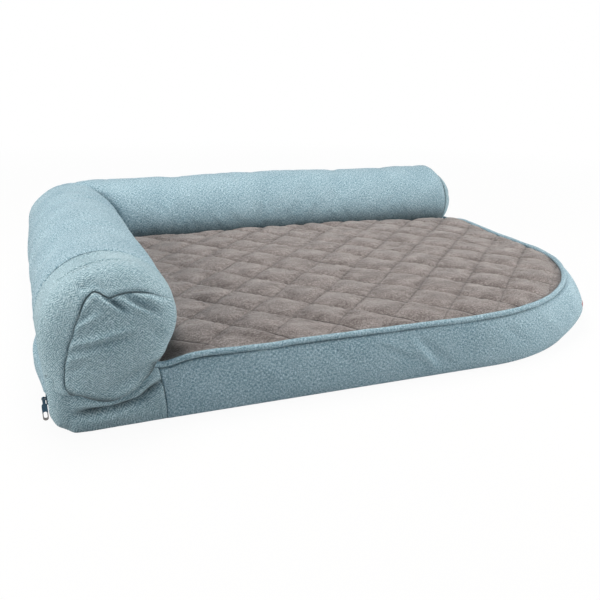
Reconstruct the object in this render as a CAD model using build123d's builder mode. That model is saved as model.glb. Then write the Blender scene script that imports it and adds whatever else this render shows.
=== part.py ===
from build123d import *
import os
from math import ceil, cos, radians, sin, sqrt, tan

# L-shaped foam pet bed: a foam slab in a zipped fabric cover with a quilted plush top,
# and two round bolsters sewn on its left side and its back.
# Millimetres. +X to the right, +Y to the back, +Z up. Origin on the floor, under the bed's middle.

os.makedirs("parts", exist_ok=True)

# Overall size
overall_width = 920.0
overall_depth = 724.0
seam_height = 75.0

# Clearances and sheet thicknesses
clearance = 0.3
fabric_thickness = 1.6
lining_thickness = 1.5
bottom_thickness = 1.5

# Mattress outline
bolster_overhang = 15.0
cap_reach = 22.0
right_swell = 20.0
front_swell = 5.0
back_swell = 3.0
left_tuck = 6.0
right_lean = 4.5
front_left_radius = 42.0
front_right_radius = 320.0
back_radius = 60.0
foam_play = 1.3
panel_seam_distance = 132.0
corner_seam_distance = 16.0

# Shape of the mattress side, level by level from the floor to the top seam
level_shares = (0.0, 0.16, 0.5, 0.84, 1.0)
right_swell_shares = (0.6, 0.85, 1.0, 0.55, 0.0)
front_swell_shares = (0.0, 0.6, 1.0, 0.6, 0.0)
left_tuck_shares = (1.0, 0.25, 0.0, 0.0, 0.0)
front_left_radius_shares = (1.0, 0.75, 0.5, 0.45, 0.45)
front_right_radius_shares = (0.94, 0.96, 0.98, 1.0, 1.0)

# Bolsters
bolster_radius = 77.0
bolster_axis_rise = 26.0
front_bolster_radius = 83.0
front_bolster_axis_rise = 37.0
bolster_drift = 16.0
round_over = 36.0
cap_radius = 66.0
cap_axis_rise = 29.0
cap_drift = 13.0
cap_crown = 14.0
end_cap_radius = 64.0
end_round_over = 20.0
end_cap_crown = 12.0
end_reach = 36.0
ring_seam_distance = 90.0
rounding_shares = (0.35, 0.4, 0.65, 0.7)
end_rounding_shares = (0.35, 0.7)

# Quilted top
channel_rise = 5.0
pillow_height = 6.0
cross_pillow_height = 7.0
quilt_pitch = 61.5
quilt_crown = 1.0
channel_angle_up = 46.3
channel_angle_down = -42.5
quilt_start_x = 184.0
quilt_start_y = 197.0
quilt_reach_share = 0.38
shoulder_foot_rise = 2.0
shoulder_width = 30.0
shoulder_rise = 11.0
lining_lap = 3.0

# Piping
piping_radius = 3.75
piping_inset = 2.0
piping_end_share = 0.9

# Zipper on the left side
zip_height_share = 0.48
zip_opening = 15.0
zip_start = 22.0
zip_end_margin = 8.0
tape_width = 10.0
tape_setback = 0.8
tape_thickness = 0.7
tape_gap = 1.8
coil_width = 2.4
coil_thickness = 2.2
slider_length = 13.0
slider_width = 10.6
plate_thickness = 1.2
slider_post = 0.9
slider_play = 0.4
flange_thickness = 1.0
slider_nose_share = 0.45
bail_rod_radius = 0.8
bail_gap = 2.0
bail_length = 7.0
pull_length = 28.0
pull_width = 6.4
pull_neck_width = 3.4
pull_neck_length = 8.0
pull_thickness = 1.6
pull_eye_play = 0.4
pull_eye_wall = 1.2
pull_slot_length = 9.0
pull_slot_width = 4.2
stop_length = 2.6

# Blank label on the right side
label_width = 18.0
label_height = 14.0
label_thickness = 0.6
label_distance = 100.0
label_foot_share = 0.27

# Places worked out from the sizes above
x_left = -overall_width / 2 + bolster_overhang
x_right = overall_width / 2 - right_swell
y_front = -overall_depth / 2 + cap_reach
y_back = overall_depth / 2 - back_swell
foam_top = seam_height - lining_thickness - clearance
foam_inset = fabric_thickness + tape_setback + tape_thickness + slider_play + plate_thickness + foam_play
bolster_foot = seam_height + clearance
bolster_axis_height = seam_height + bolster_axis_rise
front_bolster_axis_height = seam_height + front_bolster_axis_rise
cap_axis_height = seam_height + cap_axis_rise
corner_x = -overall_width / 2 + bolster_radius
corner_y = y_back - bolster_radius
front_axis_x = corner_x + bolster_drift
cap_axis_x = front_axis_x + cap_drift
cap_seam_y = -overall_depth / 2 + cap_crown
round_over_y = cap_seam_y + round_over
ring_seam_y = cap_seam_y + ring_seam_distance
panel_seam_x = x_left + panel_seam_distance
corner_seam_y = y_front + corner_seam_distance
back_seam_y = y_back - back_radius
zip_height = seam_height * zip_height_share
zip_start_y = y_front + zip_start
zip_end = back_seam_y - zip_end_margin
quilt_foot = seam_height - lining_thickness
channel_height = seam_height + channel_rise
shoulder_foot = seam_height + shoulder_foot_rise
quilt_origin_x = x_left + quilt_start_x
quilt_origin_y = y_front + quilt_start_y
label_foot = seam_height * label_foot_share
piping_end_y = corner_y - bolster_radius * piping_end_share
end_seam_x = overall_width / 2 - end_reach - end_cap_crown
lean = tan(radians(right_lean))
lean_stretch = lean + 1 / cos(radians(right_lean)) - 1


def mattress_outline(level, inset):
    """Corner points and corner radii of the mattress at one level, moved in by an inset."""
    left = x_left + left_tuck * left_tuck_shares[level] + inset
    right = x_right + right_swell * right_swell_shares[level] - inset
    front = y_front - front_swell * front_swell_shares[level] + inset
    back = y_back + back_swell * front_swell_shares[level] - inset
    left_radius = front_left_radius * front_left_radius_shares[level] - inset
    right_radius = front_right_radius * front_right_radius_shares[level] - inset
    right_at_front = right + right_radius * lean_stretch
    right_at_back = right_at_front - (back - front) * lean
    points = [(left, front), (right_at_front, front), (right_at_back, back), (left, back)]
    return points, [left_radius, right_radius, back_radius - inset, back_radius - inset]


def mattress_form(inset, low, high):
    """The mattress's outer form moved in by an inset, between two heights."""
    with BuildPart() as form:
        for level, share in enumerate(level_shares):
            points, radii = mattress_outline(level, inset)
            with BuildSketch(Plane.XY.offset(seam_height * share)):
                with BuildLine():
                    FilletPolyline(points, radius=radii, close=True)
                make_face()
        loft()
        if low > 0:
            split(bisect_by=Plane.XY.offset(low), keep=Keep.TOP)
        if high < seam_height:
            split(bisect_by=Plane.XY.offset(high), keep=Keep.BOTTOM)
    return form.part


def round_section(x, y, z, radius, plane):
    """A round face about a point on an upright plane, made of four quarter arcs."""
    with BuildSketch(Plane(origin=(x, y, z), x_dir=plane.x_dir, z_dir=plane.z_dir)) as section:
        with BuildLine():
            for quarter in range(4):
                CenterArc((0, 0), radius, 90 * quarter, 90)
        make_face()
    return section.sketch


mitre = Plane(origin=(corner_x, corner_y, 0), x_dir=(0, 0, 1), z_dir=(1, 1, 0))


def corner_ball(shrink, plane):
    """The half ball that closes a bolster at the corner, behind a plane."""
    with BuildPart() as ball:
        with Locations((corner_x, corner_y, bolster_axis_height)):
            Sphere(bolster_radius - shrink)
        split(bisect_by=plane, keep=Keep.BOTTOM)
    return ball.part


def side_bolster_form(shrink, shift):
    """The side bolster, moved in by a shrink, up to the mitre plane moved by a shift."""
    cap_end = round_section(cap_axis_x, cap_seam_y, cap_axis_height, cap_radius - shrink, Plane.XZ)
    rounding = round_section(
        front_axis_x + cap_drift * rounding_shares[0],
        cap_seam_y + round_over * rounding_shares[1],
        cap_axis_height + (front_bolster_axis_height - cap_axis_height) * rounding_shares[2],
        cap_radius + (front_bolster_radius - cap_radius) * rounding_shares[3] - shrink,
        Plane.XZ,
    )
    full = round_section(
        front_axis_x, round_over_y, front_bolster_axis_height, front_bolster_radius - shrink, Plane.XZ
    )
    corner_end = round_section(corner_x, corner_y, bolster_axis_height, bolster_radius - shrink, Plane.XZ)
    with BuildPart() as whole:
        loft([cap_end, rounding, full])
        loft([full, corner_end])
        add(corner_ball(shrink, Plane.XZ.offset(-corner_y)))
        split(bisect_by=mitre.offset(shift), keep=Keep.BOTTOM)
    return whole.part


def back_bolster_form(shrink, shift):
    """The back bolster, moved in by a shrink, from the mitre plane moved by a shift."""
    end_end = round_section(
        end_seam_x, corner_y, bolster_axis_height, end_cap_radius - shrink, Plane.YZ
    )
    rounding = round_section(
        end_seam_x - end_round_over * end_rounding_shares[0],
        corner_y,
        bolster_axis_height,
        end_cap_radius + (bolster_radius - end_cap_radius) * end_rounding_shares[1] - shrink,
        Plane.YZ,
    )
    full = round_section(
        end_seam_x - end_round_over, corner_y, bolster_axis_height, bolster_radius - shrink, Plane.YZ
    )
    corner_end = round_section(corner_x, corner_y, bolster_axis_height, bolster_radius - shrink, Plane.YZ)
    with BuildPart() as whole:
        loft([corner_end, full])
        loft([full, rounding, end_end])
        add(corner_ball(shrink, Plane.YZ.offset(corner_x)))
        split(bisect_by=mitre.offset(shift), keep=Keep.TOP)
    return whole.part


def under_block(grow):
    """The space that the mattress takes under the bolsters."""
    front = y_front - front_swell - clearance - grow
    with BuildPart() as block:
        with BuildSketch(Plane.XY.offset(bolster_foot + grow)):
            with BuildLine():
                Polyline(
                    (-overall_width, front),
                    (overall_width, front),
                    (overall_width, overall_depth),
                    (-overall_width, overall_depth),
                    close=True,
                )
            make_face()
        extrude(amount=-overall_depth)
    return block.part


def cap_form(plane, x, y, z, chord_radius, crown, shrink):
    """A ball-shaped cap on a seam circle, on the side that the plane's normal points to."""
    ball_radius = (chord_radius**2 + crown**2) / (2 * crown)
    seam = Plane(origin=(x, y, z), x_dir=plane.x_dir, z_dir=plane.z_dir)
    centre = seam.offset(crown - ball_radius).origin
    with BuildPart() as form:
        with Locations(centre):
            Sphere(ball_radius - shrink, rotation=(0, 0, 180))
        split(bisect_by=seam, keep=Keep.TOP)
    return form.part


def front_cap_form(gap, shrink):
    y = cap_seam_y - gap
    return cap_form(Plane.XZ, cap_axis_x, y, cap_axis_height, cap_radius, cap_crown - gap, shrink)


def end_cap_form(gap, shrink):
    x = end_seam_x + gap
    return cap_form(Plane.YZ, x, corner_y, bolster_axis_height, end_cap_radius, end_cap_crown - gap, shrink)


def block_between(low, high):
    """A block between its lowest and its highest corner."""
    size = Vector(high) - Vector(low)
    with BuildPart() as block:
        with Locations(low):
            Box(size.X, size.Y, size.Z, align=Align.MIN)
    return block.part


# Foam slab
with BuildPart() as foam_slab:
    add(mattress_form(foam_inset, bottom_thickness + clearance, foam_top))
foam_slab.part.label = "foam_slab"
export_step(foam_slab.part, "parts/foam_slab.step")

# Bottom panel, inside the bottom edge of the side bands
with BuildPart() as bottom_panel:
    add(mattress_form(fabric_thickness + clearance, 0, bottom_thickness))
bottom_panel.part.label = "bottom_panel"
export_step(bottom_panel.part, "parts/bottom_panel.step")

# Side bands: one sewn ring of fabric, cut into its panels
band_outer = mattress_form(0, 0, seam_height)
band_inner = mattress_form(fabric_thickness, 0, seam_height)
half_gap = clearance / 2
front_seam = Plane.YZ.offset(panel_seam_x)
corner_seam = Plane.XZ.offset(-corner_seam_y)
back_seam = Plane.XZ.offset(-back_seam_y)
zip_lower_edge = Plane.XY.offset(zip_height - zip_opening / 2)
zip_upper_edge = Plane.XY.offset(zip_height + zip_opening / 2)

with BuildPart() as band_ring:
    add(band_outer)
    add(band_inner, mode=Mode.SUBTRACT)

with BuildPart() as front_band:
    add(band_ring.part)
    split(bisect_by=front_seam.offset(half_gap), keep=Keep.TOP)
    split(bisect_by=back_seam.offset(half_gap), keep=Keep.TOP)
front_band.part.label = "front_band"
export_step(front_band.part, "parts/front_band.step")

with BuildPart() as front_corner_panel:
    add(band_ring.part)
    split(bisect_by=front_seam.offset(-half_gap), keep=Keep.BOTTOM)
    split(bisect_by=corner_seam.offset(half_gap), keep=Keep.TOP)
front_corner_panel.part.label = "front_corner_panel"
export_step(front_corner_panel.part, "parts/front_corner_panel.step")

with BuildPart() as back_band:
    add(band_ring.part)
    split(bisect_by=back_seam.offset(-half_gap), keep=Keep.BOTTOM)
back_band.part.label = "back_band"
export_step(back_band.part, "parts/back_band.step")

with BuildPart() as side_band:
    add(band_ring.part)
    split(bisect_by=front_seam, keep=Keep.BOTTOM)
    split(bisect_by=corner_seam.offset(-half_gap), keep=Keep.BOTTOM)
    split(bisect_by=back_seam.offset(half_gap), keep=Keep.TOP)

with BuildPart() as lower_side_band:
    add(side_band.part)
    split(bisect_by=zip_lower_edge, keep=Keep.BOTTOM)
lower_side_band.part.label = "lower_side_band"
export_step(lower_side_band.part, "parts/lower_side_band.step")

with BuildPart() as upper_side_band:
    add(side_band.part)
    split(bisect_by=zip_upper_edge, keep=Keep.TOP)
upper_side_band.part.label = "upper_side_band"
export_step(upper_side_band.part, "parts/upper_side_band.step")

# Bolster covers, closed underneath and cut along the mitre
with BuildPart() as side_hollow:
    add(side_bolster_form(fabric_thickness, -half_gap))
    add(under_block(fabric_thickness), mode=Mode.SUBTRACT)

with BuildPart() as side_shell:
    add(side_bolster_form(0, -half_gap))
    add(under_block(0), mode=Mode.SUBTRACT)
    add(side_hollow.part, mode=Mode.SUBTRACT)

ring_seam = Plane.XZ.offset(-ring_seam_y)
with BuildPart() as side_bolster_cover:
    add(side_shell.part)
    split(bisect_by=ring_seam.offset(-half_gap), keep=Keep.BOTTOM)
side_bolster_cover.part.label = "side_bolster_cover"
export_step(side_bolster_cover.part, "parts/side_bolster_cover.step")

with BuildPart() as side_bolster_sleeve:
    add(side_shell.part)
    split(bisect_by=ring_seam.offset(half_gap), keep=Keep.TOP)
side_bolster_sleeve.part.label = "side_bolster_sleeve"
export_step(side_bolster_sleeve.part, "parts/side_bolster_sleeve.step")

with BuildPart() as back_hollow:
    add(back_bolster_form(fabric_thickness, half_gap))
    add(under_block(fabric_thickness), mode=Mode.SUBTRACT)

with BuildPart() as back_bolster_cover:
    add(back_bolster_form(0, half_gap))
    add(under_block(0), mode=Mode.SUBTRACT)
    add(back_hollow.part, mode=Mode.SUBTRACT)
back_bolster_cover.part.label = "back_bolster_cover"
export_step(back_bolster_cover.part, "parts/back_bolster_cover.step")

# End caps, crowned by the filling behind them
with BuildPart() as front_end_cap:
    add(front_cap_form(clearance, 0))
    add(front_cap_form(clearance, fabric_thickness), mode=Mode.SUBTRACT)
front_end_cap.part.label = "front_end_cap"
export_step(front_end_cap.part, "parts/front_end_cap.step")

with BuildPart() as end_hollow:
    add(end_cap_form(0, fabric_thickness))
    add(under_block(fabric_thickness), mode=Mode.SUBTRACT)

with BuildPart() as right_end_cap:
    add(end_cap_form(clearance, 0))
    add(under_block(0), mode=Mode.SUBTRACT)
    add(end_hollow.part, mode=Mode.SUBTRACT)
right_end_cap.part.label = "right_end_cap"
export_step(right_end_cap.part, "parts/right_end_cap.step")

# Bolster fillings
fill_inset = fabric_thickness + clearance
with BuildPart() as side_bolster_fill:
    add(side_bolster_form(fill_inset, -half_gap))
    add(front_cap_form(0, fill_inset))
    add(under_block(fill_inset), mode=Mode.SUBTRACT)
side_bolster_fill.part.label = "side_bolster_fill"
export_step(side_bolster_fill.part, "parts/side_bolster_fill.step")

with BuildPart() as back_bolster_fill:
    add(back_bolster_form(fill_inset, half_gap))
    add(end_cap_form(0, fill_inset))
    add(under_block(fill_inset), mode=Mode.SUBTRACT)
back_bolster_fill.part.label = "back_bolster_fill"
export_step(back_bolster_fill.part, "parts/back_bolster_fill.step")


# Quilted top
def foot_half_width(radius, axis_height):
    """Half the width of a bolster at the lining's underside."""
    return sqrt(radius**2 - (axis_height - quilt_foot) ** 2)


def top_form(inset, low):
    """The top panel's outline at the seam, moved in by an inset at the front and the right."""
    points, radii = mattress_outline(len(level_shares) - 1, inset)
    front = points[0][1]
    right_at_front = points[1][0]
    back = corner_y - foot_half_width(bolster_radius, bolster_axis_height)
    right_at_back = right_at_front - (back - front) * lean
    outline = [(corner_x, front), (right_at_front, front), (right_at_back, back), (corner_x, back)]
    with BuildSketch(Plane.XY.offset(low)) as sketch:
        with BuildLine():
            FilletPolyline(outline, radius=[0, radii[1], 0, 0], close=True)
        make_face()
    return sketch.sketch


def pillow_row(angle, rise):
    """Rows of pillows between parallel channels, straight along one direction."""
    along = Vector(cos(radians(angle)), sin(radians(angle)), 0)
    across = Vector(-along.Y, along.X, 0)
    phase = quilt_origin_x * across.X + quilt_origin_y * across.Y
    reach = (overall_width + overall_depth) * quilt_reach_share
    first = ceil((-reach - phase) / quilt_pitch)
    last = ceil((reach - phase) / quilt_pitch)
    places = [phase + quilt_pitch * count for count in range(first, last + 1)]
    heights = [channel_height - quilt_crown * (place / reach) ** 2 for place in places]
    with BuildPart() as rows:
        with BuildSketch(Plane(origin=(0, 0, 0), x_dir=across, z_dir=along)):
            with BuildLine():
                for count in range(len(places) - 1):
                    start = (places[count], heights[count])
                    end = (places[count + 1], heights[count + 1])
                    middle = ((start[0] + end[0]) / 2, (start[1] + end[1]) / 2 + rise)
                    ThreePointArc(start, middle, end)
                Polyline(
                    (places[-1], heights[-1]),
                    (places[-1], quilt_foot),
                    (places[0], quilt_foot),
                    (places[0], heights[0]),
                )
            make_face()
        extrude(amount=overall_width, both=True)
    return rows.part


quilt_inset = piping_inset + piping_radius + clearance
with BuildPart() as shoulder:
    extrude(top_form(quilt_inset, quilt_foot), amount=shoulder_foot - quilt_foot)
    lower_rim = top_form(quilt_inset, shoulder_foot)
    upper_rim = top_form(quilt_inset + shoulder_width, shoulder_foot + shoulder_rise)
    loft([lower_rim, upper_rim], ruled=True)

with BuildPart() as quilted_top_panel:
    add(pillow_row(channel_angle_up, pillow_height))
    add(pillow_row(channel_angle_down, cross_pillow_height), mode=Mode.INTERSECT)
    add(shoulder.part, mode=Mode.INTERSECT)
    extrude(top_form(fabric_thickness + clearance, quilt_foot), amount=lining_thickness)
    add(side_bolster_form(-clearance, clearance), mode=Mode.SUBTRACT)
    add(back_bolster_form(-clearance, -clearance), mode=Mode.SUBTRACT)
quilted_top_panel.part.label = "quilted_top_panel"
export_step(quilted_top_panel.part, "parts/quilted_top_panel.step")

# Lining under the bolsters
lining_front_x = front_axis_x + foot_half_width(front_bolster_radius, front_bolster_axis_height) - lining_lap
lining_corner_x = corner_x + foot_half_width(bolster_radius, bolster_axis_height) - lining_lap
lining_corner_y = corner_y - foot_half_width(bolster_radius, bolster_axis_height) + lining_lap
with BuildPart() as bolster_lining:
    add(mattress_form(fabric_thickness + clearance, quilt_foot, seam_height))
    with BuildSketch(Plane.XY.offset(quilt_foot)):
        with BuildLine():
            Polyline(
                (lining_front_x, -overall_depth),
                (overall_width, -overall_depth),
                (overall_width, lining_corner_y),
                (lining_corner_x, lining_corner_y),
                close=True,
            )
        make_face()
    extrude(amount=overall_width, both=True, mode=Mode.SUBTRACT)
bolster_lining.part.label = "bolster_lining"
export_step(bolster_lining.part, "parts/bolster_lining.step")

# Piping along the seam, from bolster to bolster
piping_points, piping_radii = mattress_outline(len(level_shares) - 1, piping_inset)
piping_front = piping_points[0][1]
piping_corner_x = piping_points[1][0]
piping_end_x = piping_corner_x - (piping_end_y - piping_front) * lean
piping_height = seam_height + clearance + piping_radius
with BuildPart() as top_piping:
    with BuildLine() as piping_path:
        FilletPolyline(
            (front_axis_x, piping_front, piping_height),
            (piping_corner_x, piping_front, piping_height),
            (piping_end_x, piping_end_y, piping_height),
            radius=piping_radii[1],
        )
    with BuildSketch(piping_path.line ^ 0):
        Circle(piping_radius)
    sweep()
    add(side_bolster_form(-clearance, clearance), mode=Mode.SUBTRACT)
    add(back_bolster_form(-clearance, -clearance), mode=Mode.SUBTRACT)
top_piping.part.label = "top_piping"
export_step(top_piping.part, "parts/top_piping.step")

# Zipper tapes and coils
tape_face = x_left + fabric_thickness + tape_setback
tape_back = tape_face + tape_thickness
coil_back = tape_face - clearance
coil_face = coil_back - coil_thickness
tape_start = zip_start_y - stop_length - clearance * 2
tape_end = zip_end + stop_length + clearance * 2
for name, side in (("zipper_tape_lower", -1), ("zipper_tape_upper", 1)):
    near = zip_height + side * tape_gap / 2
    far = near + side * tape_width
    with BuildPart() as tape:
        add(block_between((tape_face, tape_start, min(near, far)), (tape_back, tape_end, max(near, far))))
    tape.part.label = name
    export_step(tape.part, f"parts/{name}.step")

for name, side in (("zipper_coil_lower", -1), ("zipper_coil_upper", 1)):
    near = zip_height + side * tape_gap / 2
    far = near + side * coil_width
    with BuildPart() as coil:
        add(block_between((coil_face, zip_start_y, min(near, far)), (coil_back, zip_end, max(near, far))))
    coil.part.label = name
    export_step(coil.part, f"parts/{name}.step")

# Stops at both ends of the coils
stop_face = coil_face - clearance
with BuildPart() as zipper_top_stops:
    for side in (-1, 1):
        near = zip_height + side * tape_gap / 2
        far = near + side * coil_width
        low = (stop_face, zip_start_y - clearance - stop_length, min(near, far))
        high = (coil_back, zip_start_y - clearance, max(near, far))
        add(block_between(low, high))
zipper_top_stops.part.label = "zipper_top_stops"
export_step(zipper_top_stops.part, "parts/zipper_top_stops.step")

stop_half = tape_gap / 2 + coil_width
with BuildPart() as zipper_bottom_stop:
    add(
        block_between(
            (stop_face, zip_end + clearance, zip_height - stop_half),
            (coil_back, zip_end + clearance + stop_length, zip_height + stop_half),
        )
    )
zipper_bottom_stop.part.label = "zipper_bottom_stop"
export_step(zipper_bottom_stop.part, "parts/zipper_bottom_stop.step")

# Slider: two plates round the coils, joined by a post, with a bail on its face
plate_back = coil_face - slider_play
plate_face = plate_back - plate_thickness
inner_plate_face = tape_back + slider_play
inner_plate_back = inner_plate_face + plate_thickness
slider_front = zip_start_y + clearance
slider_back = slider_front + slider_length
slider_middle = (slider_front + slider_back) / 2
bail_x = plate_face - bail_gap - bail_rod_radius
nose_half = slider_width / 2 * slider_nose_share


def slider_outline(x):
    """The slider's shield-shaped plate, wide in front and narrow behind."""
    half = slider_width / 2
    waist = slider_back - slider_length * slider_nose_share
    with BuildSketch(Plane(origin=(x, 0, 0), x_dir=(0, 1, 0), z_dir=(1, 0, 0))) as outline:
        with BuildLine():
            Polyline(
                (slider_front, zip_height - half),
                (waist, zip_height - half),
                (slider_back, zip_height - nose_half),
                (slider_back, zip_height + nose_half),
                (waist, zip_height + half),
                (slider_front, zip_height + half),
                close=True,
            )
        make_face()
        fillet(outline.vertices(), radius=flange_thickness)
    return outline.sketch


post_front = slider_front + flange_thickness
post_back = slider_front + slider_length * slider_nose_share
flange_end = tape_face - slider_play
flange_back = slider_back - slider_length * slider_nose_share
with BuildPart() as zipper_slider:
    extrude(slider_outline(plate_face), amount=plate_thickness)
    extrude(slider_outline(inner_plate_face), amount=plate_thickness)
    add(
        block_between(
            (plate_back, post_front, zip_height - slider_post / 2),
            (inner_plate_face, post_back, zip_height + slider_post / 2),
        )
    )
    for side in (-1, 1):
        outer = zip_height + side * slider_width / 2
        inner = outer - side * flange_thickness
        low = (plate_back, slider_front + flange_thickness, min(inner, outer))
        high = (flange_end, flange_back, max(inner, outer))
        add(block_between(low, high))
    for side in (-1, 1):
        leg_y = slider_middle + side * (bail_length / 2 - bail_rod_radius)
        with BuildSketch(Plane(origin=(plate_face, leg_y, zip_height), x_dir=(0, 1, 0), z_dir=(-1, 0, 0))):
            Circle(bail_rod_radius)
        extrude(amount=bail_gap + bail_rod_radius)
    with BuildSketch(Plane(origin=(bail_x, slider_middle, zip_height), x_dir=(1, 0, 0), z_dir=(0, 1, 0))):
        Circle(bail_rod_radius)
    extrude(amount=bail_length / 2, both=True)
zipper_slider.part.label = "zipper_slider"
export_step(zipper_slider.part, "parts/zipper_slider.step")

# Pull, hanging from the bail
pull_eye_radius = bail_rod_radius + pull_eye_play
pull_tip = -pull_length + pull_eye_radius
pull_middle = (pull_tip - pull_neck_length) / 2
slot_middle = pull_tip + pull_slot_length / 2 + (pull_width - pull_slot_width) / 2
with BuildPart() as zipper_pull:
    with BuildSketch(Plane(origin=(bail_x, slider_middle, zip_height), x_dir=(1, 0, 0), z_dir=(0, -1, 0))):
        Circle(pull_eye_radius + pull_eye_wall)
        with Locations((0, -pull_neck_length / 2)):
            Rectangle(pull_neck_width, pull_neck_length)
        with Locations((0, pull_middle)):
            SlotOverall(-pull_tip - pull_neck_length + pull_width / 2, pull_width, rotation=90)
        Circle(pull_eye_radius, mode=Mode.SUBTRACT)
        with Locations((0, slot_middle)):
            SlotOverall(pull_slot_length, pull_slot_width, rotation=90, mode=Mode.SUBTRACT)
    extrude(amount=pull_thickness / 2, both=True)
zipper_pull.part.label = "zipper_pull"
export_step(zipper_pull.part, "parts/zipper_pull.step")

# Blank label sewn on the right side
label_y = y_front + label_distance
with BuildPart() as side_label:
    add(mattress_form(-clearance - label_thickness, 0, seam_height))
    add(mattress_form(-clearance, 0, seam_height), mode=Mode.SUBTRACT)
    add(
        block_between(
            (0, label_y - label_width / 2, label_foot),
            (overall_width, label_y + label_width / 2, label_foot + label_height),
        ),
        mode=Mode.INTERSECT,
    )
side_label.part.label = "side_label"
export_step(side_label.part, "parts/side_label.step")
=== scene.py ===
import math
from collections import namedtuple

import bmesh
import bpy
import numpy as np
from mathutils import Matrix, Vector


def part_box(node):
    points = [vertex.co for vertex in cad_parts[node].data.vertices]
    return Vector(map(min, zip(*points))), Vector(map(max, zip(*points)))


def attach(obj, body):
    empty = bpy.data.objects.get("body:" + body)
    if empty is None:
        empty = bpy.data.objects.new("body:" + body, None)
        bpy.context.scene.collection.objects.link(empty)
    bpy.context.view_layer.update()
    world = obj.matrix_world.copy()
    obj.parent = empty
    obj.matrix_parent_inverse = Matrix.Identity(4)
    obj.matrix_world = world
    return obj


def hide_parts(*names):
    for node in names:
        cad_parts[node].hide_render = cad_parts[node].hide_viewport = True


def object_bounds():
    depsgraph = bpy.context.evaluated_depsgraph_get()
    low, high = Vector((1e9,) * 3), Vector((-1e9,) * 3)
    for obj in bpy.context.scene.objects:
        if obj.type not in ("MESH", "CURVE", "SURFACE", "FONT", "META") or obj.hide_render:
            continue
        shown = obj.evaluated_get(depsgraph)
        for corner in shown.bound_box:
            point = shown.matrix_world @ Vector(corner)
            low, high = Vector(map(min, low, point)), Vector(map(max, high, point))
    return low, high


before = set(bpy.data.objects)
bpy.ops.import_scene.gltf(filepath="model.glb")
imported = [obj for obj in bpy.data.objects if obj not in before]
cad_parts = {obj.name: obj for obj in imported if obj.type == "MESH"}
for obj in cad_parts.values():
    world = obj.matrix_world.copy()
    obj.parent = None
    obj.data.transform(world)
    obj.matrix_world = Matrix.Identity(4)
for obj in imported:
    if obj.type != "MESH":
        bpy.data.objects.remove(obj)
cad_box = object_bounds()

# Foam pet bed: fabric cover, quilted plush top, two bolsters, piping and zipper.
# +X is to the right, +Y to the back, +Z up. Cloth is worked out in millimetres and becomes metres when its
# mesh is made. Textures, lights and the camera are in metres.
mm = 0.001
Point = namedtuple("Point", "x y z")


def box(name):
    """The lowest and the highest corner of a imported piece, in millimetres."""
    return [Point(*(value / mm for value in corner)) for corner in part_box(name)]


# Sizes of the mattress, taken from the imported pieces
front_swell, back_swell, right_swell, left_tuck = 5, 3, 20, 6
band_low, band_high = box("front_band")
seam_z = band_high.z
x_left = box("upper_side_band")[0].x
x_right = band_high.x - right_swell
y_front = band_low.y + front_swell
y_back = box("back_band")[1].y - back_swell
panel_seam_x = box("front_corner_panel")[1].x
corner_seam_y = box("front_corner_panel")[1].y
back_seam_y = box("back_band")[0].y
zip_low_z = box("lower_side_band")[1].z
zip_high_z = box("upper_side_band")[0].z
right_lean = math.radians(4.5)
front_left_radius, front_right_radius, back_radius = 42, 320, 60

# Shape of the mattress side, from the floor to the seam
level_shares = (0.0, 0.16, 0.5, 0.84, 1.0)
right_swell_shares = (0.6, 0.85, 1.0, 0.55, 0.0)
front_swell_shares = (0.0, 0.6, 1.0, 0.6, 0.0)
left_tuck_shares = (1.0, 0.25, 0.0, 0.0, 0.0)
front_left_radius_shares = (1.0, 0.75, 0.5, 0.45, 0.45)
front_right_radius_shares = (0.94, 0.96, 0.98, 1.0, 1.0)

# Sizes of the bolsters
bolster_radius = 77
bolster_axis_z = seam_z + 26
front_bolster_radius = 83
front_bolster_axis_z = seam_z + 37
corner_x = cad_box[0].x / mm + bolster_radius
corner_y = y_back - bolster_radius
front_axis_x = corner_x + 16
cap_x = front_axis_x + 13
cap_z = seam_z + 29
round_over_y = box("side_bolster_sleeve")[0].y + 36
ring_seam_y = box("side_bolster_sleeve")[1].y
end_seam_x = box("back_bolster_cover")[1].x
end_cap_radius = 60
end_round_over = 32
bolster_foot_z = seam_z + 0.9
cloth_thickness = 1.2


# Small tools


def hashed(ix, iy, seed):
    """A steady pseudo-random number from 0 to 1 for each lattice point."""
    value = np.sin(ix * 127.1 + iy * 311.7 + seed * 74.7) * 43758.5453
    return value - np.floor(value)


def noise(x, y, size, seed):
    """Smooth bumps of a given size, from -1 to 1."""
    gx, gy = np.asarray(x) / size, np.asarray(y) / size
    ix, iy = np.floor(gx), np.floor(gy)
    fx, fy = gx - ix, gy - iy
    fx, fy = fx * fx * (3 - 2 * fx), fy * fy * (3 - 2 * fy)
    low = hashed(ix, iy, seed) * (1 - fx) + hashed(ix + 1, iy, seed) * fx
    high = hashed(ix, iy + 1, seed) * (1 - fx) + hashed(ix + 1, iy + 1, seed) * fx
    return (low * (1 - fy) + high * fy) * 2 - 1


def smooth(value):
    """From 0 to 1 with a soft start and end."""
    value = np.clip(value, 0, 1)
    return value * value * (3 - 2 * value)


def bell(distance, width):
    """1 on a line or at a place, fading to 0 on both sides of it."""
    return np.exp(-((distance / width) ** 2))


def softened(values, count):
    """A running mean over a few neighbours, the ends kept."""
    return np.convolve(np.pad(values, count // 2, mode="edge"), np.ones(count) / count, mode="valid")


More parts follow.
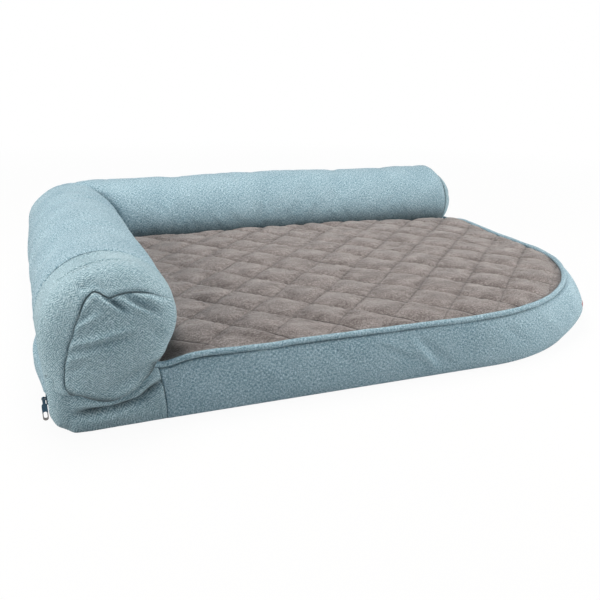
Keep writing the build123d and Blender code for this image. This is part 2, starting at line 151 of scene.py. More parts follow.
def curve(shares, values, at):
    """A smooth curve through a few values."""
    shares, values = np.asarray(shares, float), np.asarray(values, float)
    slopes = np.gradient(values, shares)
    at = np.clip(np.asarray(at, float), shares[0], shares[-1])
    index = np.clip(np.searchsorted(shares, at, side="right") - 1, 0, len(shares) - 2)
    width = shares[index + 1] - shares[index]
    t = (at - shares[index]) / width
    return (
        values[index] * (1 + 2 * t) * (1 - t) ** 2
        + values[index + 1] * t * t * (3 - 2 * t)
        + slopes[index] * width * t * (1 - t) ** 2
        - slopes[index + 1] * width * t * t * (1 - t)
    )


def crease(x, y, start, end, width):
    """A soft line mark between two points, strongest in its middle."""
    dx, dy = end[0] - start[0], end[1] - start[1]
    along = np.clip(((x - start[0]) * dx + (y - start[1]) * dy) / (dx * dx + dy * dy), 0, 1)
    distance = np.hypot(x - start[0] - along * dx, y - start[1] - along * dy)
    return bell(distance, width) * np.sin(np.pi * (0.12 + 0.76 * along))


def fold_marks(folds, x, y):
    """For each fold of a table: how far it moves the cloth out, and its mark on the cloth."""
    for start, end, amount, width in folds:
        yield amount, crease(x, y, start, end, width)


def stacked(x, y, z):
    """Points from their three coordinates, each an array or one number."""
    return np.stack(np.broadcast_arrays(x, y, z), axis=-1)


def normals_of(grid):
    """Unit normals of a grid of points, rows by columns."""
    normal = np.cross(np.gradient(grid, axis=1), np.gradient(grid, axis=0))
    return normal / np.maximum(np.linalg.norm(normal, axis=2, keepdims=True), 1e-6)


def running_length(points):
    """Length along a line of points, up to each of them."""
    return np.concatenate([[0], np.cumsum(np.linalg.norm(np.diff(points, axis=0), axis=1))])


def lengths_along(grid, axis):
    """Length along the rows or the columns of a grid, up to each point."""
    step = np.linalg.norm(np.diff(grid, axis=axis), axis=2)
    start = np.zeros_like(step.take([0], axis=axis))
    return np.concatenate([start, np.cumsum(step, axis=axis)], axis=axis)


def resample(points, count):
    """A line of points in the plane, evenly divided."""
    length = running_length(points)
    even = np.linspace(0, length[-1], count)
    return np.stack([np.interp(even, length, points[:, axis]) for axis in (0, 1)], axis=1)


def mesh_object(name, points, faces):
    """A smooth-shaded object from points in millimetres."""
    mesh = bpy.data.meshes.new(name)
    mesh.from_pydata((np.asarray(points) * mm).tolist(), [], np.asarray(faces).tolist())
    mesh.update()
    mesh.shade_smooth()
    piece = bpy.data.objects.new(name, mesh)
    bpy.context.scene.collection.objects.link(piece)
    return piece


def grid_faces(rows, columns):
    """The four-sided faces between a grid's points."""
    corner = np.arange(rows * columns).reshape(rows, columns)
    around = [corner[:-1, :-1], corner[:-1, 1:], corner[1:, 1:], corner[1:, :-1]]
    return np.stack(around, axis=-1).reshape(-1, 4)


def set_attribute(piece, name, kind, values):
    """Values at a mesh's points, which its material reads."""
    attribute = piece.data.attributes.new(name, kind, "POINT")
    key = "vector" if kind == "FLOAT_VECTOR" else "value"
    attribute.data.foreach_set(key, np.ascontiguousarray(values, np.float32).ravel())


def sheet_object(name, grid, u, v, seam=0.0, thickness=cloth_thickness, darkest=1.0):
    """A cloth piece from a grid of points, with its weave coordinates and its painted shade in seams, folds
    and contacts.
    """
    piece = mesh_object(name + "_cloth", grid.reshape(-1, 3), grid_faces(*grid.shape[:2]))
    set_attribute(piece, "cloth", "FLOAT_VECTOR", stacked(u, v, 0.0) * mm)
    # The "seam" attribute holds painted shade: in seams, in folds and where the cloth meets other parts.
    set_attribute(piece, "seam", "FLOAT", np.clip(seam + 0 * u, 0, darkest))
    if thickness:
        solid = piece.modifiers.new("thickness", "SOLIDIFY")
        solid.thickness = thickness * mm
        solid.offset = -1
    return piece


def finish_piece(piece, slot, node):
    """Give a piece the material of a slot, attach it to the root body and hide the CAD node that it stands
    for.
    """
    piece.data.materials.clear()
    piece.data.materials.append(materials[slot])
    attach(piece, "root")
    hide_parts(node)


def weld_centre(piece):
    """Join the points that fall together, such as those at a disc's middle."""
    work = bmesh.new()
    work.from_mesh(piece.data)
    bmesh.ops.remove_doubles(work, verts=work.verts, dist=0.02 * mm)
    work.to_mesh(piece.data)
    work.free()


def evened(rough, rows, columns, shape):
    """Values known at some rows and columns of a grid, filled in for all of it."""
    across = np.stack([np.interp(np.arange(shape[1]), columns, line) for line in rough])
    return np.stack([np.interp(np.arange(shape[0]), rows, line) for line in across.T], axis=1)


def stuffed_move(grid, pins, growth, limit):
    """How far Blender's cloth moves each point of a grid when it is stuffed; pinned points stay."""
    step, frames = 3, 20
    rows, columns = (np.unique(np.append(np.arange(0, size, step), size - 1)) for size in grid.shape[:2])
    rough = grid[np.ix_(rows, columns)]
    held = np.clip(pins[np.ix_(rows, columns)], 0, 1).ravel()
    piece = mesh_object("cloth_trial", rough.reshape(-1, 3), grid_faces(*rough.shape[:2]))
    group = piece.vertex_groups.new(name="pins")
    for index in np.flatnonzero(held > 0.01):
        group.add([int(index)], float(held[index]), "REPLACE")
    cloth = piece.modifiers.new("cloth", "CLOTH")
    settings = cloth.settings
    settings.quality = 5
    settings.mass = 0.002
    settings.air_damping = 2
    settings.tension_stiffness = settings.compression_stiffness = 12
    settings.shear_stiffness = 5
    settings.bending_stiffness = 0.4
    settings.use_pressure = True
    settings.uniform_pressure_force = 4.0
    settings.shrink_min = -growth
    settings.vertex_group_mass = "pins"
    settings.effector_weights.gravity = 0
    cloth.collision_settings.use_collision = False
    cloth.point_cache.frame_start, cloth.point_cache.frame_end = 1, frames
    scene = bpy.context.scene
    for moment in range(1, frames + 1):
        scene.frame_set(moment)
    settled = piece.evaluated_get(bpy.context.evaluated_depsgraph_get()).data
    places = np.empty(len(settled.vertices) * 3)
    settled.vertices.foreach_get("co", places)
    moved = places.reshape(rough.shape) / mm - rough
    bpy.data.objects.remove(piece)
    scene.frame_set(1)
    length = np.linalg.norm(moved, axis=2, keepdims=True)
    moved = moved * (limit * np.tanh(length / limit) / np.maximum(length, 1e-6))
    return np.stack([evened(moved[:, :, axis], rows, columns, grid.shape) for axis in range(3)], axis=-1)


# Materials


class Signal:
    """What comes out of a shader node. Plain arithmetic on it adds Math nodes."""

    def __init__(self, tree, socket):
        self.tree, self.socket = tree, socket

    def math(self, operation, other=None, other_first=False):
        pair = (other, self) if other_first else (self, other)
        return add_node(self.tree, "Math", dict(enumerate(pair)), operation=operation)

    def __add__(self, other):
        return self.math("ADD", other)

    def __sub__(self, other):
        return self.math("SUBTRACT", other)

    def __rsub__(self, other):
        return self.math("SUBTRACT", other, other_first=True)

    def __mul__(self, other):
        return self.math("MULTIPLY", other)

    def __truediv__(self, other):
        return self.math("DIVIDE", other)


def connect(tree, node, inputs):
    """Fill a node's sockets, each with a plain value or with a signal."""
    for key, value in inputs.items():
        if isinstance(value, Signal):
            tree.links.new(value.socket, node.inputs[key])
        elif value is not None:
            node.inputs[key].default_value = value


def add_node(tree, kind, inputs=None, output=0, **settings):
    """Add a shader node with its settings and inputs, and give one of its outputs."""
    node = tree.nodes.new("ShaderNode" + kind)
    for key, value in settings.items():
        setattr(node, key, value)
    connect(tree, node, inputs or {})
    return Signal(tree, node.outputs[output])


def attribute(tree, name, output):
    return add_node(tree, "Attribute", output=output, attribute_name=name)


def separated(vector):
    """A vector's three numbers."""
    split = add_node(vector.tree, "SeparateXYZ", {0: vector})
    return [Signal(vector.tree, socket) for socket in split.socket.node.outputs]


def noise_texture(place, scale, detail=2.0, stretch=(1, 1, 1)):
    scaled = add_node(place.tree, "Mapping", {"Vector": place, "Scale": stretch})
    return add_node(place.tree, "TexNoise", {"Vector": scaled, "Scale": scale, "Detail": detail})


def ramp(value, stops):
    """A colour for each number, blended between stops."""
    colour = add_node(value.tree, "ValToRGB", {0: value})
    elements = colour.socket.node.color_ramp.elements
    while len(elements) < len(stops):
        elements.new(0.5)
    for element, (place, stop) in zip(elements, stops):
        element.position = place
        element.color = (*stop, 1)
    return colour


def darkened(colour, amount):
    """A colour made darker by a value from 0, black, to 1."""
    mixed = {0: 1, 6: colour, 7: amount}
    return add_node(colour.tree, "Mix", mixed, output=2, data_type="RGBA", blend_type="MULTIPLY")


def painted_shade(tree, depth):
    """1 on plain cloth, falling by a depth where shade is painted: in seams, folds and where parts meet."""
    return 1.0 - attribute(tree, "seam", "Fac") * depth


def new_material(name):
    material = bpy.data.materials.new(name)
    material.use_nodes = True
    return material, material.node_tree


def finish_material(material, colour, height, bump_distance, bump_strength, values):
    """Give a material its colour, its bumps and its plain values."""
    tree = material.node_tree
    bump = add_node(tree, "Bump", {"Strength": bump_strength, "Distance": bump_distance, "Height": height})
    connect(tree, tree.nodes["Principled BSDF"], {"Base Color": colour, "Normal": bump, **values})
    return material


def woven_material(name, dark, middle, light, herringbone):
    """Blue-teal upholstery cloth: a plain linen-like weave, or a herringbone of slanting yarns."""
    yarn_pitch = (3.1 if herringbone else 2.6) * mm
    column_width, column_wobble = 8 * mm, 4 * mm
    material, tree = new_material(name)
    cloth = attribute(tree, "cloth", "Vector")
    across, along, _ = separated(cloth)
    slubs = noise_texture(cloth, 1, 2.0, (300, 950, 1)) + noise_texture(cloth, 1, 2.0, (950, 300, 1))
    slubs = (slubs - 1.0) * (1.35 if herringbone else 2.1)
    turns = 2 * math.pi / yarn_pitch
    if herringbone:
        column = (across + noise_texture(cloth, 130) * column_wobble).math("PINGPONG", column_width)
        yarns = ((along + column) * turns).math("SINE") * 0.21
    else:
        yarns = (across * turns).math("SINE") * (along * turns).math("SINE") * 0.25
    worn = noise_texture(cloth, 18, 3.0) - 0.5
    height = slubs + yarns
    colour = ramp(height + worn * 0.35 + 0.5, [(0.05, dark), (0.50, middle), (0.95, light)])
    # Painted shade from the mesh darkens seams, folds and the places where other parts meet this cloth.
    colour = darkened(colour, painted_shade(tree, 0.65))
    values = {"Roughness": 0.85, "Sheen Weight": 0.12, "Sheen Roughness": 0.45, "Specular IOR Level": 0.15}
    return finish_material(material, colour, height, 0.32 * mm, 0.9, values)


def stitched_shade(tree, ragged):
    """1 on the pile, with painted shade in the thin stitched channels, whose distances come with the mesh.
    """
    shade = 1.0
    for distance, strength in zip(separated(attribute(tree, "stitch", "Vector")), channel_shades):
        width = ragged * (2.0 * mm) + 0.5 * mm
        inside = (1.0 - distance.math("ABSOLUTE") / width).math("MAXIMUM", 0.0)
        shade = shade - inside * strength
    return shade.math("MAXIMUM", 0.08)


def plush_material():
    """Short taupe pile with lighter patches where it is brushed the other way."""
    material, tree = new_material("plush")
    cloth = attribute(tree, "cloth", "Vector")
    grain = noise_texture(cloth, 700, 3.0)
    tufts = noise_texture(cloth, 230, 3.0)
    brushed = noise_texture(cloth, 1, 3.0, (24, 44, 1))
    tone = brushed * 0.65 + tufts * 0.55 + grain * 1.6 - 0.9
    stops = [(0.16, (0.100, 0.085, 0.082)), (0.5, (0.238, 0.211, 0.203)), (0.84, (0.47, 0.43, 0.42))]
    # Painted shade from the mesh, then painted shade in the stitched channels
    colour = darkened(ramp(tone, stops), painted_shade(tree, 0.7))
    colour = darkened(colour, stitched_shade(tree, tufts))
    values = {"Roughness": 0.9, "Sheen Weight": 0.5, "Sheen Roughness": 0.35, "Specular IOR Level": 0.1}
    return finish_material(material, colour, grain + tufts * 0.6, 1.4 * mm, 0.9, values)


def speckled_material(name, dark, light, scale, roughness, bump_distance):
    """A plain stuff with a fine even grain, such as foam, fibre, tape, plastic or paint."""
    material, tree = new_material(name)
    grain = noise_texture(add_node(tree, "TexCoord", output="Object"), scale, 4.0)
    colour = ramp(grain, [(0.3, dark), (0.7, light)])
    return finish_material(material, colour, grain, bump_distance * mm, 1.0, {"Roughness": roughness})


def pull_material():
    """Blue paint with the loop at the end rubbed to bare metal."""
    bare_length = 10.6
    material, tree = new_material("pull_paint")
    place = add_node(tree, "TexCoord", output="Object")
    height = separated(place)[2]
    grain = noise_texture(place, 900, 3.0)
    paint_end = (box("zipper_pull")[0].z + bare_length) * mm
    painted = (height + grain * (1.2 * mm)).math("GREATER_THAN", paint_end)
    colour = ramp(painted, [(0.0, (0.20, 0.19, 0.185)), (1.0, (0.022, 0.095, 0.16))])
    values = {"Roughness": 0.35, "Metallic": 1.0 - painted}
    return finish_material(material, colour, grain, 0.05 * mm, 1.0, values)


# How dark the painted shade is in the two sets of stitched channels of the quilting
channel_shades = (0.30, 0.85)

# Colours of the weaves: between the yarns, plain, and on the raised yarns
plain_colours = ((0.115, 0.235, 0.31), (0.31, 0.465, 0.55), (0.60, 0.78, 0.86))
herringbone_colours = ((0.105, 0.20, 0.25), (0.325, 0.48, 0.55), (0.66, 0.83, 0.89))

# Plain stuffs by slot: name, dark and light colour, fineness of the grain, roughness, bump in mm
plain_stuffs = {
    "foam": ("foam", (0.70, 0.64, 0.46), (0.86, 0.81, 0.64), 600, 0.95, 1.0),
    "filling": ("filling", (0.74, 0.74, 0.74), (0.92, 0.92, 0.91), 220, 0.95, 3.0),
    "lining": ("lining_cloth", (0.62, 0.63, 0.63), (0.78, 0.79, 0.79), 900, 0.9, 0.3),
    "base_cloth": ("base_cloth", (0.05, 0.06, 0.065), (0.12, 0.135, 0.14), 700, 0.75, 0.4),
    "zipper_tape": ("tape_cloth", (0.035, 0.09, 0.14), (0.07, 0.15, 0.22), 1500, 0.8, 0.2),
    "zipper_coil": ("coil_plastic", (0.03, 0.08, 0.125), (0.05, 0.12, 0.18), 400, 0.4, 0.03),
    "slider_paint": ("slider_paint", (0.012, 0.045, 0.075), (0.03, 0.09, 0.14), 500, 0.35, 0.05),
    "label_cloth": ("label_cloth", (0.17, 0.02, 0.03), (0.25, 0.04, 0.045), 1300, 0.6, 0.15),
}

materials = {
    "plain_weave": woven_material("plain_weave", *plain_colours, False),
    "herringbone_weave": woven_material("herringbone_weave", *herringbone_colours, True),
    "plush": plush_material(),
}
for slot_name, stuff in plain_stuffs.items():
    materials[slot_name] = speckled_material(*stuff)


# Mattress sides


def rounded_loop(corners, radii, step):
    """Points round a rounded outline, from the first corner's arc on, about a step apart."""
    points = []
    count = len(corners)
    for index, radius in enumerate(radii):
        before, here, after = (np.array(corners[(index + turn) % count]) for turn in (-1, 0, 1))
        back_way = (before - here) / np.linalg.norm(before - here)
        fore_way = (after - here) / np.linalg.norm(after - here)
        half = math.acos(float(back_way @ fore_way)) / 2
        middle = (back_way + fore_way) / np.linalg.norm(back_way + fore_way)
        centre = here + middle * radius / math.sin(half)
        start = here + back_way * radius / math.tan(half) - centre
        sweep = math.pi - 2 * half
        for turn in np.linspace(0, sweep, max(4, int(radius * sweep / step)) + 1):
            c, s = math.cos(turn), math.sin(turn)
            points.append(centre + np.array([start[0] * c - start[1] * s, start[0] * s + start[1] * c]))
    closed = np.array(points + points[:1])
    return resample(closed, int(running_length(closed)[-1] / step) + 1)


def outline_at(share, inset):
    """Corners and radii of the mattress at a share of its height."""
    left = x_left + left_tuck * curve(level_shares, left_tuck_shares, share) + inset
    right = x_right + right_swell * curve(level_shares, right_swell_shares, share) - inset
    swell = curve(level_shares, front_swell_shares, share)
    front = y_front - front_swell * swell + inset
    back = y_back + back_swell * swell - inset
    left_radius = front_left_radius * curve(level_shares, front_left_radius_shares, share) - inset
    right_radius = front_right_radius * curve(level_shares, front_right_radius_shares, share) - inset
    right_at_front = right + right_radius * (math.tan(right_lean) + 1 / math.cos(right_lean) - 1)
    right_at_back = right_at_front - (back - front) * math.tan(right_lean)
    corners = [(left, front), (right_at_front, front), (right_at_back, back), (left, back)]
    return corners, [left_radius, right_radius, back_radius - inset, back_radius - inset]


def on_loop(loop, axis, value, other_low):
    """The point where an outline crosses a line, on its low or its high side."""
    other = 1 - axis
    chosen = loop[(loop[:, other] < loop[:, other].mean()) == other_low]
    point = chosen[np.argmin(np.abs(chosen[:, axis] - value))].copy()
    point[axis] = value
    return point


def cut_run(loop, start, end, count):
    """The stretch of a closed outline from one mark to another, evenly divided."""
    first, last = (int(np.argmin(np.linalg.norm(loop - mark, axis=1))) for mark in (start, end))
    ring = loop[:-1]
    span = (last - first) % len(ring)
    run = ring[(first + np.arange(span + 1)) % len(ring)]
    run[0], run[-1] = start, end
    return resample(run, count)


def band_run(share, inset, stretch, count):
    """One level of a side band: the front, corner, side or back stretch of the outline."""
    seam_lean = 8 * max(share - 0.15, 0) ** 1.4
    loop = rounded_loop(*outline_at(share, inset), 0.5)
    panel = on_loop(loop, 0, panel_seam_x - seam_lean, True)
    right_back = on_loop(loop, 1, back_seam_y, False)
    left_back = on_loop(loop, 1, back_seam_y, True)
    left_front = on_loop(loop, 1, corner_seam_y, True)
    ends = {
        "front": (panel, right_back),
        "back": (right_back, left_back),
        "side": (left_back, left_front),
        "corner": (left_front, panel),
    }[stretch]
    return cut_run(loop, *ends, count)


# How far the slab's right edge has sunk at a few distances from the front, and the dip beside the front cap
sag_places = (-140, -85, -30, 50, 100, 145, 175, 200, 235)
sag_depths = (0, 3.2, 6.5, 6.5, 4.6, 3.0, 4.4, 10.0, 13.0)
dip_x, dip_y, dip_depth, dip_width = -313, -341, 7, 23


def slab_sag(x, y):
    """How far the slab has sunk: along its right edge, under the bolster's end and beside the front cap."""
    steps = np.arange(sag_places[0], sag_places[-1] + 1, 5)
    depth = np.interp(y, steps, curve(sag_places, sag_depths, steps))
    back = smooth((y - 60) / 70)
    right = depth * smooth((x - 290 + 110 * back) / (90 + 90 * back))
    return right + dip_depth * bell(np.hypot(x - dip_x, (y - dip_y) * 0.7), dip_width)


def sunk(points):
    """Let points of the slab sink, the more the higher they are."""
    points[..., 2] -= slab_sag(points[..., 0], points[..., 1]) * np.clip(points[..., 2] / seam_z, 0, 1) ** 2
    return points


# Rows of a band's turned-in edges: how far above its edge, how far in
low_hem = ((1.6, 3.2), (0.3, 1.5), (0.9, 0.2))
high_hem = ((-0.9, 0.9), (0, 2.4), (0.2, 4.4))
open_edge = ((-1.0, 0.0), (0.6, 0.2))


def band_object(name, stretch, count, low_z, high_z, shape, slot, top=high_hem, darkest=1.0):
    """A side band between two heights, its edges turned in, its surface moved by a shape that also gives its
    painted shade.
    """
    plain_low, plain_high, row_gap = low_z + 2.4, high_z - 2.5, 2.0
    plain = np.linspace(plain_low, plain_high, max(4, int((high_z - low_z) / row_gap)))
    rows = [(low_z + rise, inset) for rise, inset in low_hem]
    rows += [(z, 0.0) for z in plain]
    rows += [(high_z + rise, inset) for rise, inset in top]
    grid = np.zeros((len(rows), count, 3))
    for index, (z, inset) in enumerate(rows):
        grid[index, :, :2] = band_run(min(max(z / seam_z, 0), 1), inset, stretch, count)
        grid[index, :, 2] = z
    u, v = lengths_along(grid, 1), lengths_along(grid, 0)
    outward = normals_of(grid)
    outward[:, :, 2] *= 0.3
    moved, seam = shape(u, grid)
    grid = sunk(grid + outward * moved[:, :, None])
    piece = sheet_object(name, grid, u, v, seam, darkest=darkest)
    finish_piece(piece, slot, name)
    return grid


# Creases of the front band: start and end (distance from the panel seam, height), how far out, half width
front_creases = (
    ((343, 63), (382, 14), -4.2, 6.5),
    ((330, 60), (366, 20), 2.6, 7.0),
    ((360, 52), (398, 12), -2.4, 6.0),
    ((286, 66), (334, 40), 2.4, 7.0),
    ((292, 58), (330, 34), -1.8, 6.0),
    ((214, 68), (244, 36), -1.5, 7.0),
    ((120, 62), (150, 24), 1.2, 9.0),
    ((476, 66), (520, 30), -1.6, 8.0),
    ((560, 66), (612, 26), 1.6, 10.0),
    ((640, 64), (668, 22), -1.5, 8.0),
    ((700, 62), (742, 16), -1.8, 8.0),
)

# Folds of the corner panel seen from the front: start and end (x, z), how far out, half width
panel_folds = (
    ((-418, 27), (-376, 28.5), -5.0, 5.0),
    ((-384, 28), (-340, 36), -4.6, 4.6),
    ((-350, 33), (-317, 58), -3.6, 4.0),
    ((-412, 40), (-372, 34), 3.6, 5.0),
    ((-376, 34), (-342, 44), 3.8, 5.5),
    ((-348, 43), (-320, 68), 3.2, 6.0),
    ((-412, 13), (-350, 18), 2.4, 8.0),
    ((-336, 22), (-320, 44), 1.2, 7.0),
)

# How dark the painted shade in the herringbone cloth's deepest folds and creases gets; painted shade in
# plain seams goes to 1
darkest_painted_fold_shade = 1.15


def sewn_edges(u, z, top_shade):
    """Painted shade of the seams at a band's two ends and along its top."""
    ends = bell(u, 1.3) + bell(u[:, -1:] - u, 1.3)
    return ends * 0.7 + bell(seam_z - z, 2) * top_shade


def front_band_shape(u, grid):
    """Waves, creases, gathers under the piping, the swell of the right end, and painted shade along its
    seams.
    """
    z = grid[:, :, 2]
    wave = noise(u, z, 95, 3) * 1.8 + noise(u, z * 1.5, 38, 4) * 0.6
    moved = wave * smooth(z / 14) * smooth((seam_z - z) / 10)
    for amount, mark in fold_marks(front_creases, u, z):
        moved += amount * mark
    gathers = np.sin(u / 5.2 + 2 * noise(u, 0 * u, 30, 8)) * bell(seam_z - z, 10) * 0.35
    moved += gathers * (0.35 + smooth((u - 430) / 80))
    full = np.clip(1 - ((z - 42) / 40) ** 4, 0, 1) * smooth((seam_z - z) / 7)
    moved += 8.0 * smooth((u - 560) / 150) * smooth((u[:, -1:] - u) / 140) * full
    moved += 5.0 * bell(u - 718, 42) * bell(z - 33, 22) - 0.9 * bell(u, 1.6)
    # Painted shade along the seam under the piping and along the seam at the corner panel
    return moved, bell(seam_z - z, 1.6) * 0.7 + bell(u, 0.8) * 0.35


def corner_panel_shape(u, grid):
    """Deep folds under the bolster's end, with painted shade in the deepest and along the seams, and a
    pointed lower corner.
    """
    x, z = grid[:, :, 0], grid[:, :, 2]
    end = u[:, -1:]
    front = smooth((x + 432) / 14)
    moved = noise(u, z, 60, 13) * 1.0 + noise(u, z, 22, 14) * 0.5
    painted_fold_shade = np.zeros_like(x)
    for amount, mark in fold_marks(panel_folds, x, z):
        moved += 1.45 * amount * mark * front
        if amount < -3:
            painted_fold_shade = np.maximum(painted_fold_shade, (mark * front) ** 1.2)
    moved += 2.2 * bell(x - x_left - 10, 5) * bell(z - 6, 12) - 1.2 * bell(x - x_left - 22, 4) * front
    moved += 4.0 * bell(x - x_left - 24, 9) * bell(z, 9) * front
    moved -= 1.3 * bell(u, 2.0) + 0.9 * bell(end - u, 1.6)
    # Painted shade along both seams and in the deepest folds
    return moved, bell(end - u, 0.8) * 0.35 + bell(u, 1.2) * 0.5 + painted_fold_shade * darkest_painted_fold_shade


def side_band_shape(u, grid):
    """The strips beside the zipper: the upper one bulges over it like a flap near the front."""
    y, z = grid[:, :, 1], grid[:, :, 2]
    flap = smooth((z - zip_high_z + 6) / 9) * smooth((seam_z - z) / 13)
    moved = noise(u, z, 80, 23) * 1.2
    moved += (13.0 * bell(y + 222, 72) + 3.0 * bell(y + 60, 120)) * flap
    moved += 2.5 * bell(y + 230, 80) * bell(z - 14, 9)
    return moved * smooth(np.minimum(u, u[:, -1:] - u) / 14), sewn_edges(u, z, 0.7)


def back_band_shape(u, grid):
    """Waves, and gathers under the bolster."""
    z = grid[:, :, 2]
    moved = noise(u, z, 110, 33) * 1.5 + noise(u, z, 40, 34) * 0.5
    moved += np.sin(u / 5.0) * bell(seam_z - z, 8) * 0.25
    return moved * smooth(np.minimum(u, u[:, -1:] - u) / 12), sewn_edges(u, z, 0.8)


front_band_grid = band_object("front_band", "front", 520, 0, seam_z, front_band_shape, "plain_weave")
band_object(
    "front_corner_panel", "corner", 110, 0, seam_z, corner_panel_shape, "herringbone_weave",
    open_edge, darkest_painted_fold_shade,
)
band_object("back_band", "back", 380, 0, seam_z, back_band_shape, "plain_weave")
band_object("lower_side_band", "side", 260, 0, zip_low_z, side_band_shape, "plain_weave")
band_object("upper_side_band", "side", 260, zip_high_z, seam_z, side_band_shape, "plain_weave", open_edge)


# Bolsters


def side_axis(y):
    """Centre and radius of the side bolster's section."""
    share = np.clip((y - round_over_y) / (corner_y - round_over_y), 0, 1)
    x = front_axis_x + (corner_x - front_axis_x) * share
    z = front_bolster_axis_z + (bolster_axis_z - front_bolster_axis_z) * share
    radius = front_bolster_radius + (bolster_radius - front_bolster_radius) * share
    return x, z, radius


def rest_on_slab(points):
    """Flatten what would reach into the mattress."""
    over = (points[..., 1] > y_front - 1.0) & (points[..., 0] > x_left + 1.5)
    floor_z = bolster_foot_z - slab_sag(points[..., 0], points[..., 1])
    points[..., 2] = np.where(over, np.maximum(points[..., 2], floor_z), points[..., 2])
    return points


def side_cover():
    """The side bolster from the ring seam to the mitre, rounded at the outer corner."""
    rows, columns = 210, 200
    turn = np.linspace(3 * math.pi / 2, -math.pi / 2, columns)
    offset = np.cos(turn)[None, :] * bolster_radius
    straight = corner_y - ring_seam_y
    total = straight + np.where(offset > 0, -offset, -offset * math.pi / 4)
    run = np.linspace(0, 1, rows)[:, None] * total
    y = ring_seam_y + np.minimum(run, straight)
    x_axis, z_axis, radius = side_axis(y)
    bend = np.where(offset < 0, np.maximum(run - straight, 0) / np.maximum(-offset, 1e-3), 0)
    x = np.where(bend > 0, corner_x + offset * np.cos(bend), x_axis + np.cos(turn)[None, :] * radius)
    y = np.where(bend > 0, corner_y - offset * np.sin(bend), y)
    z = z_axis + np.sin(turn)[None, :] * radius
    return stacked(x, y, z), run, turn * bolster_radius + 0 * run, total - run, turn


def back_cover():
    """The back bolster from the mitre to the end seam, rounded at the outer corner."""
    rows, columns = 270, 200
    turn = np.linspace(-math.pi / 2, 3 * math.pi / 2, columns)
    offset = -np.cos(turn)[None, :] * bolster_radius
    straight = end_seam_x - corner_x
    total = straight + np.where(offset < 0, offset, offset * math.pi / 4)
    run = np.linspace(0, 1, rows)[:, None] * total
    bend = np.where(offset > 0, np.maximum(run - straight, 0) / np.maximum(offset, 1e-3), 0)
    share = np.clip(run / end_round_over, 0, 1)
    radius = end_cap_radius + (bolster_radius - end_cap_radius) * np.sin(np.pi / 2 * share)
    radius = radius + 1.4 * bell(run - 34, 16) * smooth(share)
    x = np.where(bend > 0, corner_x - offset * np.sin(bend), np.maximum(end_seam_x - run, corner_x))
    y = np.where(bend > 0, corner_y + offset * np.cos(bend), corner_y - np.cos(turn)[None, :] * radius)
    z = bolster_axis_z + np.sin(turn)[None, :] * radius
    return stacked(x, y, z), run, turn * bolster_radius + 0 * run, total - run, turn


def elbow_dent(points):
    """The covers' round outer corner is drawn in a little at its top."""
    dent_x, dent_y, dent_z, dent_depth = -330, 308, 168, 7
    inward = np.array([0.35, -0.35, -0.87])
    near = smooth((dent_x - points[..., 0]) / 60)
    depth = dent_depth * bell(points[..., 1] - dent_y, 55) * bell(points[..., 2] - dent_z, 30) * near
    return inward * depth[:, :, None]


# Covers: how uneven the stuffing is, and how deep the mitre between them is drawn in
cover_bumps, mitre_depth, mitre_width = 1.5, 7, 11


def side_marks(u, grid, outward):
    """How far the side cover is drawn in at the ring seam and swells out at its flank, and its painted shade
    at the ring seam.
    """
    flank = 3.5 * bell(grid[:, :, 1] - 30, 120) * smooth(-outward[:, :, 0])
    return bell(u, 2.6) * 2.2 - bell(u - 7, 6) * 0.8 - flank, bell(u, 1.3) * 0.7


def back_marks(u, grid, outward):
    """The same for the back cover, which has only its end seam, with painted shade along it."""
    return bell(u, 2.4) * 2.0, bell(u, 1.4) * 0.35


def build_cover(name, cover, marks, foot_shade, seed):
    """A stuffed cover: uneven, puffed by the simulation, drawn in along the mitre, set on the slab, with
    painted shade.
    """
    grid, u, v, to_mitre, turn = cover()
    bumps = noise(u, v, 120, seed) + noise(u, v, 48, seed + 1) * 0.45
    grid = grid + normals_of(grid) * (bumps * cover_bumps)[:, :, None]
    pins = np.maximum(bell(u, 9), bell(to_mitre, 9)) + (grid[:, :, 2] < bolster_foot_z + 4)
    grid = grid + stuffed_move(grid, pins, 0.012, 1.5)
    outward = normals_of(grid)
    drawn_in, shade = marks(u, grid, outward)
    valley = bell(to_mitre, mitre_width) * smooth((np.cos(turn - 0.2) - 0.12) / 0.75)
    grid = rest_on_slab(grid + elbow_dent(grid) - outward * (valley * mitre_depth + drawn_in)[:, :, None])
    # Painted shade in the mitre's valley, and a painted shadow along the foot where foot_shade is set
    shade += valley**2 * 0.4 + foot_shade * bell(grid[:, :, 2] - bolster_foot_z, 26)
    finish_piece(sheet_object(name, grid, u, v, shade), "plain_weave", name)


build_cover("side_bolster_cover", side_cover, side_marks, 0, 41)
build_cover("back_bolster_cover", back_cover, back_marks, 1, 51)

# Front end of the side bolster, seen from the front. By angle about the cap's middle: the reach of its
# outline, how much of it ends in the crease against the corner panel, the reach of the cap's seam, and how
# sharply that seam shows: clear at the top, softer down the left, lost at the right.
front_degrees = (
    -36, -24, -5, 10, 24, 40, 55, 75, 98, 120, 150, 175, 190, 200, 206,
    209, 212, 216, 220, 236, 244, 254, 267, 286, 307, 324,
)
front_reach = (
    39.4, 46.8, 52.0, 60, 67.8, 74.3, 80, 87, 91.9, 95.9, 97.8, 95.8, 96, 99, 102.5,
    103.5, 98, 87, 78, 74, 72.4, 68.5, 59.1, 48.9, 43.4, 39.4,
)
crease_degrees = (-36, -24, -10, 0, 205, 209, 212, 216, 220, 324)
crease_shares = (1.0, 0.4, 0.05, 0.0, 0.0, 0.15, 0.6, 0.95, 1.0, 1.0)
seam_degrees = (
    -36, 20, 40, 56, 64, 70, 82, 96, 103, 106.5, 110, 114, 123, 137, 157, 179, 196, 209, 216, 226, 324,
)
seam_reach = (
    80, 76, 72, 68.5, 68, 67.6, 66.4, 65, 63.9, 66, 72.5, 76.5, 73.8, 66, 61.5, 64.5, 71.9, 80, 82, 82, 82,
)
